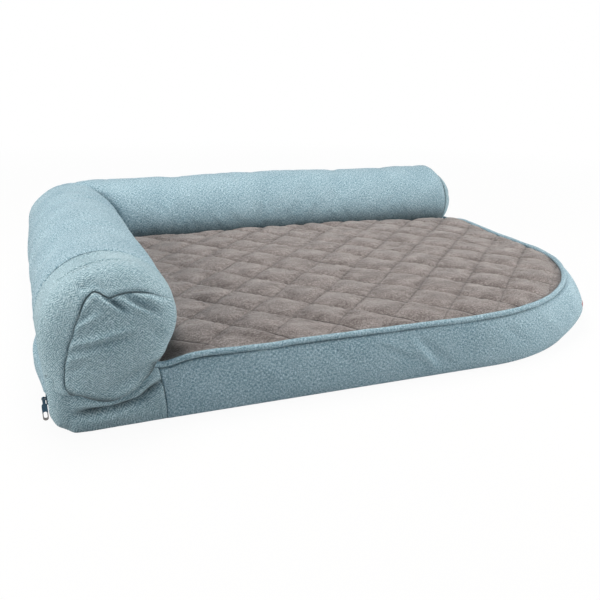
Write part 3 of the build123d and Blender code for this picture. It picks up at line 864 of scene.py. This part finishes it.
shown_degrees = (34, 58, 70, 125, 150, 209, 216)
shown_shares = (0, 0.2, 1, 1, 0.6, 0.6, 0)
cap_apex_y = cad_box[0].y / mm + 0.5
crease_y = y_front - 2.5
front_columns = 300
# How far the cap's folds are scaled, and the amount below which a fold gets painted shade
fold_scale, folded_from = 2.0, -1.7
second_seam_gap = 44


def front_outline():
    """For each column round the bolster's end: angle, reach, creased share, end depth, seam share, shown."""
    degrees = np.linspace(324, -36, front_columns)
    reach = softened(np.interp(degrees, front_degrees, front_reach), 9)
    creased = softened(np.interp(degrees, crease_degrees, crease_shares), 7)
    end_y = round_over_y + (crease_y - round_over_y) * creased
    seam = softened(np.minimum(np.interp(degrees, seam_degrees, seam_reach) / reach, 0.975), 3)
    shown = softened(np.interp(degrees, shown_degrees, shown_shares), 7)
    return degrees, reach, creased, end_y, seam, shown


def dome(turn, reach, end_y, share):
    """A point of the rounded end at a share of the outline's reach."""
    power = 2.5
    depth = (1 - np.clip(share, 0, 1) ** power) ** (1 / power)
    x = cap_x + reach * share * np.cos(turn)
    z = cap_z + reach * share * np.sin(turn)
    return stacked(x, end_y - (end_y - cap_apex_y) * depth, z)


def tucked_in(row, turn, inward, back):
    """A row of the end's points moved towards its middle and back, out of sight."""
    return row + stacked(-inward * np.cos(turn), back, -inward * np.sin(turn))


# Folds of the cap seen from the front: start and end (x, z), how far the cloth moves out, half width
cap_folds = (
    ((-379, 173), (-352, 152), -4.6, 4.0),
    ((-384, 170), (-360, 152), 2.4, 4.0),
    ((-366, 166), (-320, 143), 2.2, 4.0),
    ((-352, 167), (-318, 143), -3.4, 4.2),
    ((-340, 168), (-312, 150), 1.6, 5.0),
    ((-420, 116), (-350, 130), 2.0, 4.5),
    ((-419, 108), (-352, 122), -1.8, 5.0),
    ((-422, 100), (-392, 106), 1.0, 4.0),
    ((-409, 142), (-388, 153), -1.6, 4.0),
    ((-411, 134), (-380, 150), 1.2, 4.0),
    ((-424, 84), (-400, 92), -0.9, 5.0),
    ((-330, 128), (-314, 112), -1.2, 8.0),
    ((-380, 60), (-332, 84), -1.8, 7.0),
    ((-372, 48), (-336, 66), 2.2, 6.0),
    ((-416, 66), (-392, 52), 1.4, 6.0),
)


def build_front_cap():
    """The front cap: a bulging, slightly sagging disc with folds from the pinch at its top, and painted
    shade.
    """
    degrees, reach, creased, end_y, seam_share, shown = front_outline()
    turn = np.radians(degrees)
    rings = 84
    share = np.linspace(0, 1, rings)[:, None]
    grid = dome(turn, reach, end_y, share * seam_share)
    x, z = grid[:, :, 0].copy(), grid[:, :, 2].copy()
    to_seam = (1 - share) * (seam_share * reach)
    outward = -normals_of(grid[::-1])[::-1]
    outward = np.where(outward[:, :, 1:2] > 0, -outward, outward)
    moved = noise(x, z, 34, 71) * 0.7 + noise(x, z, 15, 72) * 0.22
    painted_fold_shade = np.zeros_like(x)
    for amount, mark in fold_marks(cap_folds, x, z):
        moved += fold_scale * amount * mark
        if amount < folded_from:
            painted_fold_shade = np.maximum(painted_fold_shade, mark**1.5 * min(-amount / 4, 1))
    ticks = np.sin(degrees * 2.1 + 3 * noise(degrees / 9, 0 * degrees, 1.0, 75))
    roll = bell(to_seam - 5, 3.5) * 0.6 + ticks * bell(to_seam - 5, 4) * 0.22
    moved = moved * smooth(to_seam / 5) + (roll - bell(to_seam, 1.6) * 1.5) * shown
    grid = grid + outward * moved[:, :, None]
    hems = [tucked_in(grid[-1], turn, *step) for step in ((1.2, 1.2), (3.2, 4.0))]
    grid = np.concatenate([grid, np.array(hems)])
    # Painted shade along the cap's seam where it shows and in its deep folds, and a painted shadow in the
    # crease under the cap against the corner panel
    seam = bell(to_seam, 0.9) * 0.85 * shown + bell(to_seam, 7) * creased * darkest_painted_fold_shade + painted_fold_shade * 0.4
    u, v, seam = (np.pad(values, ((0, 2), (0, 0)), mode="edge") for values in (x, z, seam))
    piece = sheet_object("front_end_cap", grid, u, v, seam, darkest=darkest_painted_fold_shade)
    weld_centre(piece)
    finish_piece(piece, "herringbone_weave", "front_end_cap")


def build_sleeve():
    """The herringbone sleeve, from the cap's seam round the edge and back to the ring seam."""
    degrees, reach, creased, end_y, seam_share, shown = front_outline()
    turn = np.radians(degrees)
    first = dome(turn, reach, end_y, seam_share)
    rows = [tucked_in(first, turn, *step) for step in ((3.0, 4.2), (0.8, 1.4))]
    front_rows, back_rows, power = 26, 46, 1.25
    start = np.arcsin(seam_share**power)
    for t in np.linspace(0, 1, front_rows):
        angle = start + (math.pi / 2 - start) * t
        rows.append(dome(turn, reach, end_y, np.sin(angle) ** (1 / power)))
    edge = rows[-1]
    under = edge.copy()
    under[:, 2] = np.where(creased > 0.5, np.maximum(under[:, 2], bolster_foot_z), under[:, 2])
    rows.append(under)
    axis_x, axis_z, radius = side_axis(ring_seam_y)
    circle = np.stack([axis_x + radius * np.cos(turn), axis_z + radius * np.sin(turn)], axis=-1)
    foot_side = smooth((15 - degrees) / 30) + smooth((degrees - 300) / 15)
    for share in np.linspace(0.02, 1, back_rows):
        settle = smooth(share * 1.15 - 0.35 * foot_side * (1 - share))
        x, z = (edge[:, [0, 2]] + (circle - edge[:, [0, 2]]) * settle[:, None]).T
        rows.append(stacked(x, round_over_y + (ring_seam_y - round_over_y) * share, z))
    grid = np.array(rows)
    u = lengths_along(grid, 0)
    v = turn * front_bolster_radius + 0 * u
    outward = normals_of(grid)
    x, y, z = np.moveaxis(grid, 2, 0)
    run = u - u[2:3]
    lip = shown * (run >= -1e-3)
    top = smooth((degrees - 76) / 12) * (1 - smooth((degrees - 126) / 14))
    second_y = ring_seam_y - second_seam_gap
    moved = 0.9 * bell(y - ring_seam_y + 7, 4.5) - 2.2 * bell(y - ring_seam_y, 2.6)
    moved -= 2.4 * bell(y - second_y, 2.8) * top
    moved += 0.3 * np.sin(v / 3.0 + noise(v, 0 * v, 14, 61) * 3) * bell(run - 6, 6) * lip
    moved -= 1.3 * bell(run, 1.6) * shown - 1.2 * bell(run - 5, 4.0) * lip
    moved -= 2.6 * bell(degrees - 113, 9) * bell(run - 10, 9)
    moved -= 1.8 * crease(x, z, (-404, 179), (-386, 176), 2.5)
    moved += 1.1 * noise(u, v, 55, 62) * smooth(run / 20) * smooth((ring_seam_y - y) / 12)
    grid = rest_on_slab(grid + outward * moved[:, :, None])
    # Painted shade along the cap's seam, the ring seam and the second line, and a painted shadow along the
    # foot of the right side
    right_foot = smooth((30 - degrees) / 40) + smooth((degrees - 318) / 10)
    seam = bell(run, 0.8) * 0.8 * shown + bell(y - ring_seam_y, 1.3) * 0.7
    seam += bell(y - second_y, 1.9) * 0.75 * top + right_foot * bell(grid[:, :, 2] - bolster_foot_z, 9) * 0.6
    seam[:2] = seam[2]
    piece = sheet_object("side_bolster_sleeve", grid, v, u, seam)
    finish_piece(piece, "herringbone_weave", "side_bolster_sleeve")


def build_end_cap():
    """The right end cap of the back bolster: a dome with two soft folds, and painted shade at its seam."""
    crown, seam_radius = 32, end_cap_radius - 1.5
    columns, rings = 160, 30
    turn = np.linspace(-math.pi / 2, 3 * math.pi / 2, columns)
    share = np.linspace(0.0, 1, rings)[:, None]
    y = corner_y - share * seam_radius * np.cos(turn)
    z = bolster_axis_z + share * seam_radius * np.sin(turn)
    folds = (
        ((corner_y - 50, bolster_axis_z + 20), (corner_y, bolster_axis_z + 2), -1.6, 6),
        ((corner_y + 10, bolster_axis_z + 55), (corner_y, bolster_axis_z + 15), -1.4, 6),
    )
    moved = noise(y, z, 30, 81) * 0.9
    for amount, mark in fold_marks(folds, y, z):
        moved += amount * mark
    x = end_seam_x + crown * (1 - share**2.4) ** 0.8 + moved * smooth((1 - share) / 0.1)
    grid = rest_on_slab(stacked(x, y, z))
    # Painted shade along the seam at the cap's rim
    piece = sheet_object("right_end_cap", grid, y, z, bell((1 - share) * end_cap_radius, 1.6) * 0.4)
    weld_centre(piece)
    finish_piece(piece, "herringbone_weave", "right_end_cap")


build_sleeve()
build_front_cap()
build_end_cap()


# Quilted top

quilt_pitch = 61.5
quilt_angles = (math.radians(46.3), math.radians(-42.5))
quilt_start = (x_left + 184, y_front + 197)
quilt_thickness = 2.0
quilt_inset = 6
channel_depths = (0.6, 1.0)
channel_z = seam_z + 5.5
pillow_rise = 4.6
shoulder_width, foot_width = 36, 22
edge_z, edge_lip = seam_z + 0.6, 1.5
tuck_x, tuck_y, tuck_width = -300, -315, 32
row_spacing = 1000  # sets the channels of one direction far apart on the noise's second axis

# The quilt's edge on the right: an arc at the front and a straight line behind it
quilt_corners, quilt_radii = outline_at(1.0, quilt_inset)
(line_x, quilt_front_y), arc_radius = quilt_corners[1], quilt_radii[1]
arc_x = line_x - arc_radius * math.tan((math.pi / 2 + right_lean) / 2)
arc_y = quilt_front_y + arc_radius
arc_end_y = arc_y + arc_radius * math.sin(right_lean)


def foot_reach(radius, axis_z):
    """How far a bolster's foot stands out from its axis."""
    return np.sqrt(radius**2 - (axis_z - seam_z - 1.5) ** 2)


def right_line(y):
    return line_x - (y - quilt_front_y) * math.tan(right_lean)


def edge_distance(x, y):
    """Distance inward from the quilt's edge along the front and the right side."""
    to_right = (right_line(y) - x) * math.cos(right_lean)
    from_arc = arc_radius - np.hypot(x - arc_x, y - arc_y)
    return np.where((x > arc_x) & (y < arc_end_y), from_arc, np.minimum(y - quilt_front_y, to_right))


def right_edge(y):
    """Where the quilt ends on the right, for each distance from the front."""
    arc = arc_x + np.sqrt(np.maximum(arc_radius**2 - (y - arc_y) ** 2, 0))
    return np.where(y < arc_end_y, arc, right_line(y))


def quilt_lines(x, y):
    """For both sets of channels: distance to the nearest one, length along it and its number."""
    for angle in quilt_angles:
        dx, dy = x - quilt_start[0], y - quilt_start[1]
        across = -math.sin(angle) * dx + math.cos(angle) * dy
        along = math.cos(angle) * dx + math.sin(angle) * dy
        across = across + noise(along, across, 70, 95) * 1.6
        index = np.round(across / quilt_pitch)
        yield across - index * quilt_pitch, along, index


def build_quilt():
    """Puffed diamonds between two sets of channels, a rolled edge, a tuck beside the front cap, and painted
    shade.
    """
    rows, columns = 310, 400
    back = corner_y - foot_reach(bolster_radius, bolster_axis_z)
    y = (quilt_front_y + (back - quilt_front_y) * np.linspace(0, 1, rows) ** 1.12)[:, None]
    left_axis, left_z, left_radius = side_axis(y)
    left = left_axis + foot_reach(left_radius, left_z) - 26 * smooth((ring_seam_y - y) / 80)
    x = left + (right_edge(y) - left) * np.linspace(0, 1, columns)
    y = y + 0 * x
    rim = np.maximum(edge_distance(x, y), 0)
    foot = np.minimum(x - left, back - y)
    shoulder = 1 - (1 - np.clip(rim / shoulder_width, 0, 1)) ** 2.2
    inward = 1 - (1 - np.clip(foot / foot_width, 0, 1)) ** 2.0
    lines = list(quilt_lines(x, y))
    cells = [np.floor(distance / quilt_pitch + index) for distance, along, index in lines]
    domes = np.ones_like(x)
    grooves, puckers, tilt = np.zeros_like(x), np.zeros_like(x), np.zeros_like(x)
    for number, (distance, along, index) in enumerate(lines):
        away = np.abs(distance) / (quilt_pitch / 2)
        domes *= 1 - channel_depths[number] * (1 - np.clip(away, 0, 1)) ** 3.6
        broken = 0.7 + 0.3 * noise(along, index * row_spacing, 24, 98)
        grooves = np.maximum(grooves, bell(distance, 2.0) * broken * channel_shades[number])
        ripple = np.sin(along / 2.3 + 4 * noise(along, distance, 16, 96 + number))
        puckers += ripple * bell(np.abs(distance) - 4.5, 4.5) * 0.34
        lean = hashed(cells[0] + 7, cells[1] - 3, 11 + number) * 2 - 1
        tilt += lean * (distance - np.sign(distance) * quilt_pitch / 2) / quilt_pitch * 4.2
    lift = 1 + 0.4 * (hashed(cells[0], cells[1], 5) - 0.5)
    pillows = pillow_rise * np.minimum(0.25 + 0.75 * shoulder, 1) * (0.3 + 0.7 * inward)
    drift = noise(x, y, 180, 91) * 1.6 + noise(x, y, 34, 92) * 1.1 * domes
    z = seam_z + 2.2 + (channel_z - seam_z - 1.2) * shoulder * inward
    z += (pillows * lift + tilt) * domes + drift * shoulder * inward + puckers * shoulder - grooves * 0.9
    stitched = np.maximum(bell(lines[0][0], 3), bell(lines[1][0], 3))
    pins = np.maximum(stitched, bell(np.minimum(rim, np.maximum(foot, 0)), 5))
    z += stuffed_move(stacked(x, y, z), pins, 0.03, 2.0)[:, :, 2] * (1 - stitched)
    tucked = bell(np.hypot(x - tuck_x, y - tuck_y), tuck_width)
    z += (edge_z - z) * tucked - slab_sag(x, y)
    grid = np.pad(stacked(x, y, z), ((1, 0), (0, 1), (0, 0)), mode="edge")
    grid[1:, -1, 0] += edge_lip
    grid[1:, -1, 2] = edge_z - slab_sag(grid[1:, -1, 0], grid[1:, -1, 1])
    grid[0] = grid[1]
    grid[0, :, 1] -= edge_lip
    grid[0, :, 2] = edge_z
    # Painted shade in the channels, and painted shadows along the bolsters' feet and in the tuck beside the
    # front cap
    shade = np.clip(grooves * 0.22 + 0.6 * bell(foot, 9) + 1.25 * tucked**2, 0, 1)
    distances = np.pad(stacked(lines[0][0], lines[1][0], 0.0), ((1, 0), (0, 1), (0, 0)), mode="edge")
    shade = np.pad(shade, ((1, 0), (0, 1)), mode="edge")
    piece = sheet_object("quilted_top_panel", grid, grid[:, :, 0], grid[:, :, 1], shade, quilt_thickness)
    set_attribute(piece, "stitch", "FLOAT_VECTOR", distances * mm)
    finish_piece(piece, "plush", "quilted_top_panel")


build_quilt()


# Piping

piping_radius = 3.75
piping_inset = 2
piping_start_x = panel_seam_x - 20
piping_end_y = corner_y - bolster_radius * 0.62
piping_rings, piping_sides = 420, 18


def build_piping():
    """The piping: a slightly uneven tube round the top's front and right edges, cut on the bias."""
    loop = rounded_loop(*outline_at(1.0, piping_inset), 0.5)
    start = on_loop(loop, 0, piping_start_x, True)
    end = on_loop(loop, 1, piping_end_y, False)
    path = cut_run(loop, start, end, piping_rings)
    run = running_length(path)
    height = seam_z + 0.3 + piping_radius - slab_sag(*path.T)
    height += noise(run, run * 0, 70, 101) * 0.9 + noise(run, run * 0, 26, 102) * 0.4
    radius = piping_radius * (1 + 0.05 * noise(run, run * 0, 14, 103))[:, None]
    line = np.column_stack([path, height])
    ahead = np.gradient(line, axis=0)
    ahead /= np.linalg.norm(ahead, axis=1, keepdims=True)
    side = np.cross(ahead, np.array([0, 0, 1.0]))
    side /= np.linalg.norm(side, axis=1, keepdims=True)
    up = np.cross(side, ahead)
    turn = np.linspace(2 * math.pi, 0, piping_sides + 1)
    across, rise = radius * np.cos(turn), radius * np.sin(turn)
    ring = line[:, None] + across[:, :, None] * side[:, None] + rise[:, :, None] * up[:, None]
    along, around = running_length(line)[:, None], turn * radius
    u, v = (along - around) * math.sqrt(0.5), (along + around) * math.sqrt(0.5)
    finish_piece(sheet_object("top_piping", ring, u, v, thickness=0), "plain_weave", "top_piping")


build_piping()


# Bottom, foam, lining and fillings

outline_points, foam_rows, sheet_rings = 260, 14, 16
foam_inset = 8.5
foam_gap = 2.2


def outline_ring(z, inset):
    """The mattress's outline at a height."""
    loop = rounded_loop(*outline_at(min(max(z / seam_z, 0), 1), inset), 1)
    return np.column_stack([resample(loop, outline_points), np.full(outline_points, z)])


def build_foam():
    """A closed slab with the mattress's outline: its side as rows, its faces as rings to their middle."""
    low_z, high_z = foam_gap, seam_z - foam_gap
    side = np.array([outline_ring(z, foam_inset) for z in np.linspace(low_z, high_z, foam_rows)])
    middle = side[0].mean(axis=0)
    shares = np.linspace(1, 0, foam_rows)[1:, None, None]
    below, above = (middle + (side[end] - middle) * shares for end in (0, -1))
    below[:, :, 2], above[:, :, 2] = low_z, high_z
    grid = sunk(np.concatenate([below[::-1], side, above]))
    piece = sheet_object("foam_slab", grid, grid[:, :, 0], grid[:, :, 1], thickness=0)
    weld_centre(piece)
    finish_piece(piece, "foam", "foam_slab")


def build_flat_sheet(name, slot, inset, top_z):
    """A cloth sheet with the mattress's outline, lying flat, as rings from its edge to its middle."""
    edge = outline_ring(top_z, inset)
    middle = edge.mean(axis=0)
    grid = sunk(middle + (edge - middle) * np.linspace(1, 0, sheet_rings)[:, None, None])
    piece = sheet_object(name, grid, grid[:, :, 0], grid[:, :, 1])
    weld_centre(piece)
    finish_piece(piece, slot, name)


def build_filling(name, cover):
    """A stuffed filling inside a cover."""
    shrink, floor_gap = 11, 2.2
    grid, u, v = (values[::3, ::3] for values in cover()[:3])
    grid = grid + elbow_dent(grid) - normals_of(grid) * shrink
    grid[:, :, 2] = np.maximum(grid[:, :, 2], bolster_foot_z + floor_gap)
    finish_piece(sheet_object(name, grid, u, v, thickness=0), "filling", name)


build_foam()
build_flat_sheet("bottom_panel", "base_cloth", 4.6, 1.2)
build_flat_sheet("bolster_lining", "lining", 5.0, seam_z - 0.4)
build_filling("side_bolster_fill", side_cover)
build_filling("back_bolster_fill", back_cover)


# Zipper

tape_thickness = 0.5
guard_overlap = 4
guard_clearance = 1.6
tooth_pitch = 1.45
filament_radius = 0.34


def side_strip(rows, columns, start_y, end_y, high_z, low_z):
    """Rows and columns of y and z over an upright strip along the left side."""
    return np.meshgrid(np.linspace(start_y, end_y, columns), np.linspace(high_z, low_z, rows))


def build_tape(name):
    low, high = box(name)
    y, z = side_strip(9, 320, back_seam_y + 0.6, corner_seam_y - 0.6, high.z, low.z)
    x = low.x + 0.12 * np.sin(y / 0.9)
    piece = sheet_object(name, stacked(x, y, z), y, z, thickness=tape_thickness)
    finish_piece(piece, "zipper_tape", name)


def build_guard():
    """The dark strip of cloth that is sewn in behind the zipper, clear of the slider."""
    top_z, foot_z = zip_high_z + guard_overlap, zip_low_z - guard_overlap
    y, z = side_strip(7, 200, back_seam_y, corner_seam_y, top_z, foot_z)
    x = box("zipper_slider")[1].x + guard_clearance + 0.3 * noise(y, z, 30, 111)
    piece = sheet_object("zipper_guard", stacked(x, y, z), y, z, thickness=tape_thickness)
    finish_piece(piece, "zipper_tape", "zipper_tape_lower")


def build_coil(name):
    """One side of the zipper: a row of bent filament teeth, each a closed ring."""
    low, high = box(name)
    steps, sides = 8, 6
    count = int((high.y - low.y) / tooth_pitch)
    half_x, half_z = ((far - near) / 2 - filament_radius - 0.02 for near, far in zip(low[::2], high[::2]))
    bend = np.linspace(0, 2 * math.pi, steps, endpoint=False)[:, None]
    turn = np.linspace(0, 2 * math.pi, sides, endpoint=False)
    out = filament_radius * np.cos(turn)
    x = (low.x + high.x) / 2 + (half_x + out) * np.cos(bend)
    z = (low.z + high.z) / 2 + (half_z + out) * np.sin(bend)
    tooth = stacked(x, low.y + filament_radius * np.sin(turn), z).reshape(-1, 3)
    ring = np.arange(steps * sides).reshape(steps, sides)
    ahead = np.roll(ring, -1, axis=0)
    around = [ring, ahead, np.roll(ahead, -1, axis=1), np.roll(ring, -1, axis=1)]
    faces = np.stack(around, axis=-1).reshape(-1, 4)
    places = (np.arange(count) + 0.5)[:, None, None] * np.array([0, tooth_pitch, 0])
    points = (tooth + places).reshape(-1, 3)
    all_faces = (faces + np.arange(count)[:, None, None] * len(tooth)).reshape(-1, 4)
    finish_piece(mesh_object(name + "_teeth", points, all_faces), "zipper_coil", name)


for half in ("lower", "upper"):
    build_tape("zipper_tape_" + half)
for half in ("lower", "upper"):
    build_coil("zipper_coil_" + half)
build_guard()


def dress_node(name, material, bevel):
    """A CAD piece that keeps its shape and gets a material and softer edges."""
    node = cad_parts[name]
    node.data.materials.clear()
    node.data.materials.append(material)
    rounding = node.modifiers.new("soft_edges", "BEVEL")
    rounding.width = bevel * mm
    rounding.segments = 2
    rounding.limit_method = "ANGLE"


dress_node("zipper_slider", materials["slider_paint"], 0.2)
dress_node("zipper_pull", pull_material(), 0.25)
dress_node("zipper_top_stops", materials["zipper_coil"], 0.2)
dress_node("zipper_bottom_stop", materials["zipper_coil"], 0.2)


def build_label():
    """A blank woven label sewn on the right side, following the band behind it, its far edge lifted."""
    lift, gap, right_start, hem_rows = 7.5, 1.0, 260, 3
    low, high = box("side_label")
    band = front_band_grid[:, right_start:]
    y, z = np.linspace(low.y, high.y, 24), np.linspace(low.z, high.z, 12)
    by_row = np.stack([np.interp(y, line[:, 1], line[:, 0]) for line in band])[hem_rows:-hem_rows]
    heights = band[hem_rows:-hem_rows, :, 2].mean(axis=1)
    x = np.stack([np.interp(z, heights, column) for column in by_row.T], axis=1)
    lifted = lift * np.linspace(0, 1, len(y)) ** 1.5 * np.linspace(1, 0.25, len(z))[:, None]
    y, z = np.meshgrid(y, z)
    piece = sheet_object("side_label", stacked(x + gap + lifted, y, z), y, z, thickness=0.5)
    finish_piece(piece, "label_cloth", "side_label")


build_label()


# Floor, light and camera


def seen_directly(tree):
    """1 for what the camera sees, straight or in gloss."""
    glossy = add_node(tree, "LightPath", output="Is Glossy Ray")
    return add_node(tree, "LightPath", output="Is Camera Ray").math("MAXIMUM", glossy)


def build_stage():
    """A floor that looks white, keeps the bed's shadow near it and lights the bed like a grey one."""
    floor_size, floor_gap = 400, 0.4 * mm
    shadow_start, shadow_end, shadow_share = 0.7, 2.2, 0.07
    bpy.ops.mesh.primitive_plane_add(size=floor_size, location=(0, 0, -floor_gap))
    floor = bpy.context.object
    floor.name = "floor"
    material, tree = new_material("floor")
    shader = tree.nodes["Principled BSDF"]
    plain = {"Roughness": 0.9, "Base Color": (0.42, 0.42, 0.42, 1), "Specular IOR Level": 0.0}
    connect(tree, shader, plain)
    place = add_node(tree, "TexCoord", output="Object")
    away = add_node(tree, "VectorMath", {0: place}, output="Value", operation="LENGTH")
    spans = {"From Min": shadow_start, "From Max": shadow_end, "To Min": shadow_share, "To Max": 0.0}
    fade = add_node(tree, "MapRange", {"Value": away, **spans})
    white = add_node(tree, "Emission", {"Color": (1, 1, 1, 1)})
    pale = add_node(tree, "BsdfDiffuse", {"Color": (0.9, 0.9, 0.9, 1)})
    shown = add_node(tree, "MixShader", {0: fade, 1: white, 2: pale})
    lit = Signal(tree, shader.outputs[0])
    surface = add_node(tree, "MixShader", {0: seen_directly(tree), 1: lit, 2: shown})
    connect(tree, tree.nodes["Material Output"], {"Surface": surface})
    floor.data.materials.append(material)


def build_world():
    """Soft light from all round, seen as white."""
    world = bpy.data.worlds.new("studio")
    bpy.context.scene.world = world
    world.use_nodes = True
    tree = world.node_tree
    through = add_node(tree, "LightPath", output="Is Transmission Ray")
    seen = seen_directly(tree).math("MAXIMUM", through)
    around = ramp(seen, [(0.0, (0.24, 0.255, 0.275)), (1.0, (1, 1, 1))])
    connect(tree, tree.nodes["Background"], {"Color": around})


def area_light(name, place, target, width, height, power):
    """A warm white soft box that faces its target."""
    light = bpy.data.lights.new(name, "AREA")
    light.color = (1.0, 0.95, 0.89)
    light.shape = "RECTANGLE"
    light.size, light.size_y = width, height
    light.energy = power
    lamp = bpy.data.objects.new(name, light)
    bpy.context.scene.collection.objects.link(lamp)
    lamp.location = place
    lamp.rotation_euler = (Vector(target) - Vector(place)).to_track_quat("-Z", "Y").to_euler()


def build_camera():
    """The photograph's camera, found from the quilting, the seam and the outline."""
    yaw, pitch, roll = (math.radians(angle) for angle in (20.67, 20.62, 1.22))
    place = Vector((-0.4158, -1.0584, 0.4239))
    focal_pixels, image_pixels = 671.65, 600
    ahead = Vector((math.sin(yaw) * math.cos(pitch), math.cos(yaw) * math.cos(pitch), -math.sin(pitch)))
    level = Vector((math.cos(yaw), -math.sin(yaw), 0))
    upright = level.cross(ahead)
    right = math.cos(roll) * level + math.sin(roll) * upright
    up = -math.sin(roll) * level + math.cos(roll) * upright
    data = bpy.data.cameras.new("camera")
    data.sensor_width = 36
    data.lens = focal_pixels / image_pixels * data.sensor_width
    data.clip_start, data.clip_end = 0.01, 50
    camera = bpy.data.objects.new("camera", data)
    bpy.context.scene.collection.objects.link(camera)
    turn = Matrix((right, up, -ahead)).transposed()
    camera.matrix_world = Matrix.Translation(place) @ turn.to_4x4()
    bpy.context.scene.camera = camera


build_stage()
build_world()
area_light("top_light", (-0.25, 0.1, 1.75), (0, 0, 0.08), 1.1, 0.9, 19.6)
area_light("left_light", (-2.0, -0.4, 0.9), (0, 0, 0.08), 1.2, 1.0, 21.8)
area_light("right_light", (2.0, -0.3, 0.7), (0, 0, 0.08), 1.2, 1.0, 14.5)
area_light("front_right_light", (1.0, -1.05, 0.4), (0.3, -0.3, 0.04), 0.5, 0.4, 6.4)
build_camera()
bpy.context.scene.view_settings.view_transform = "Standard"
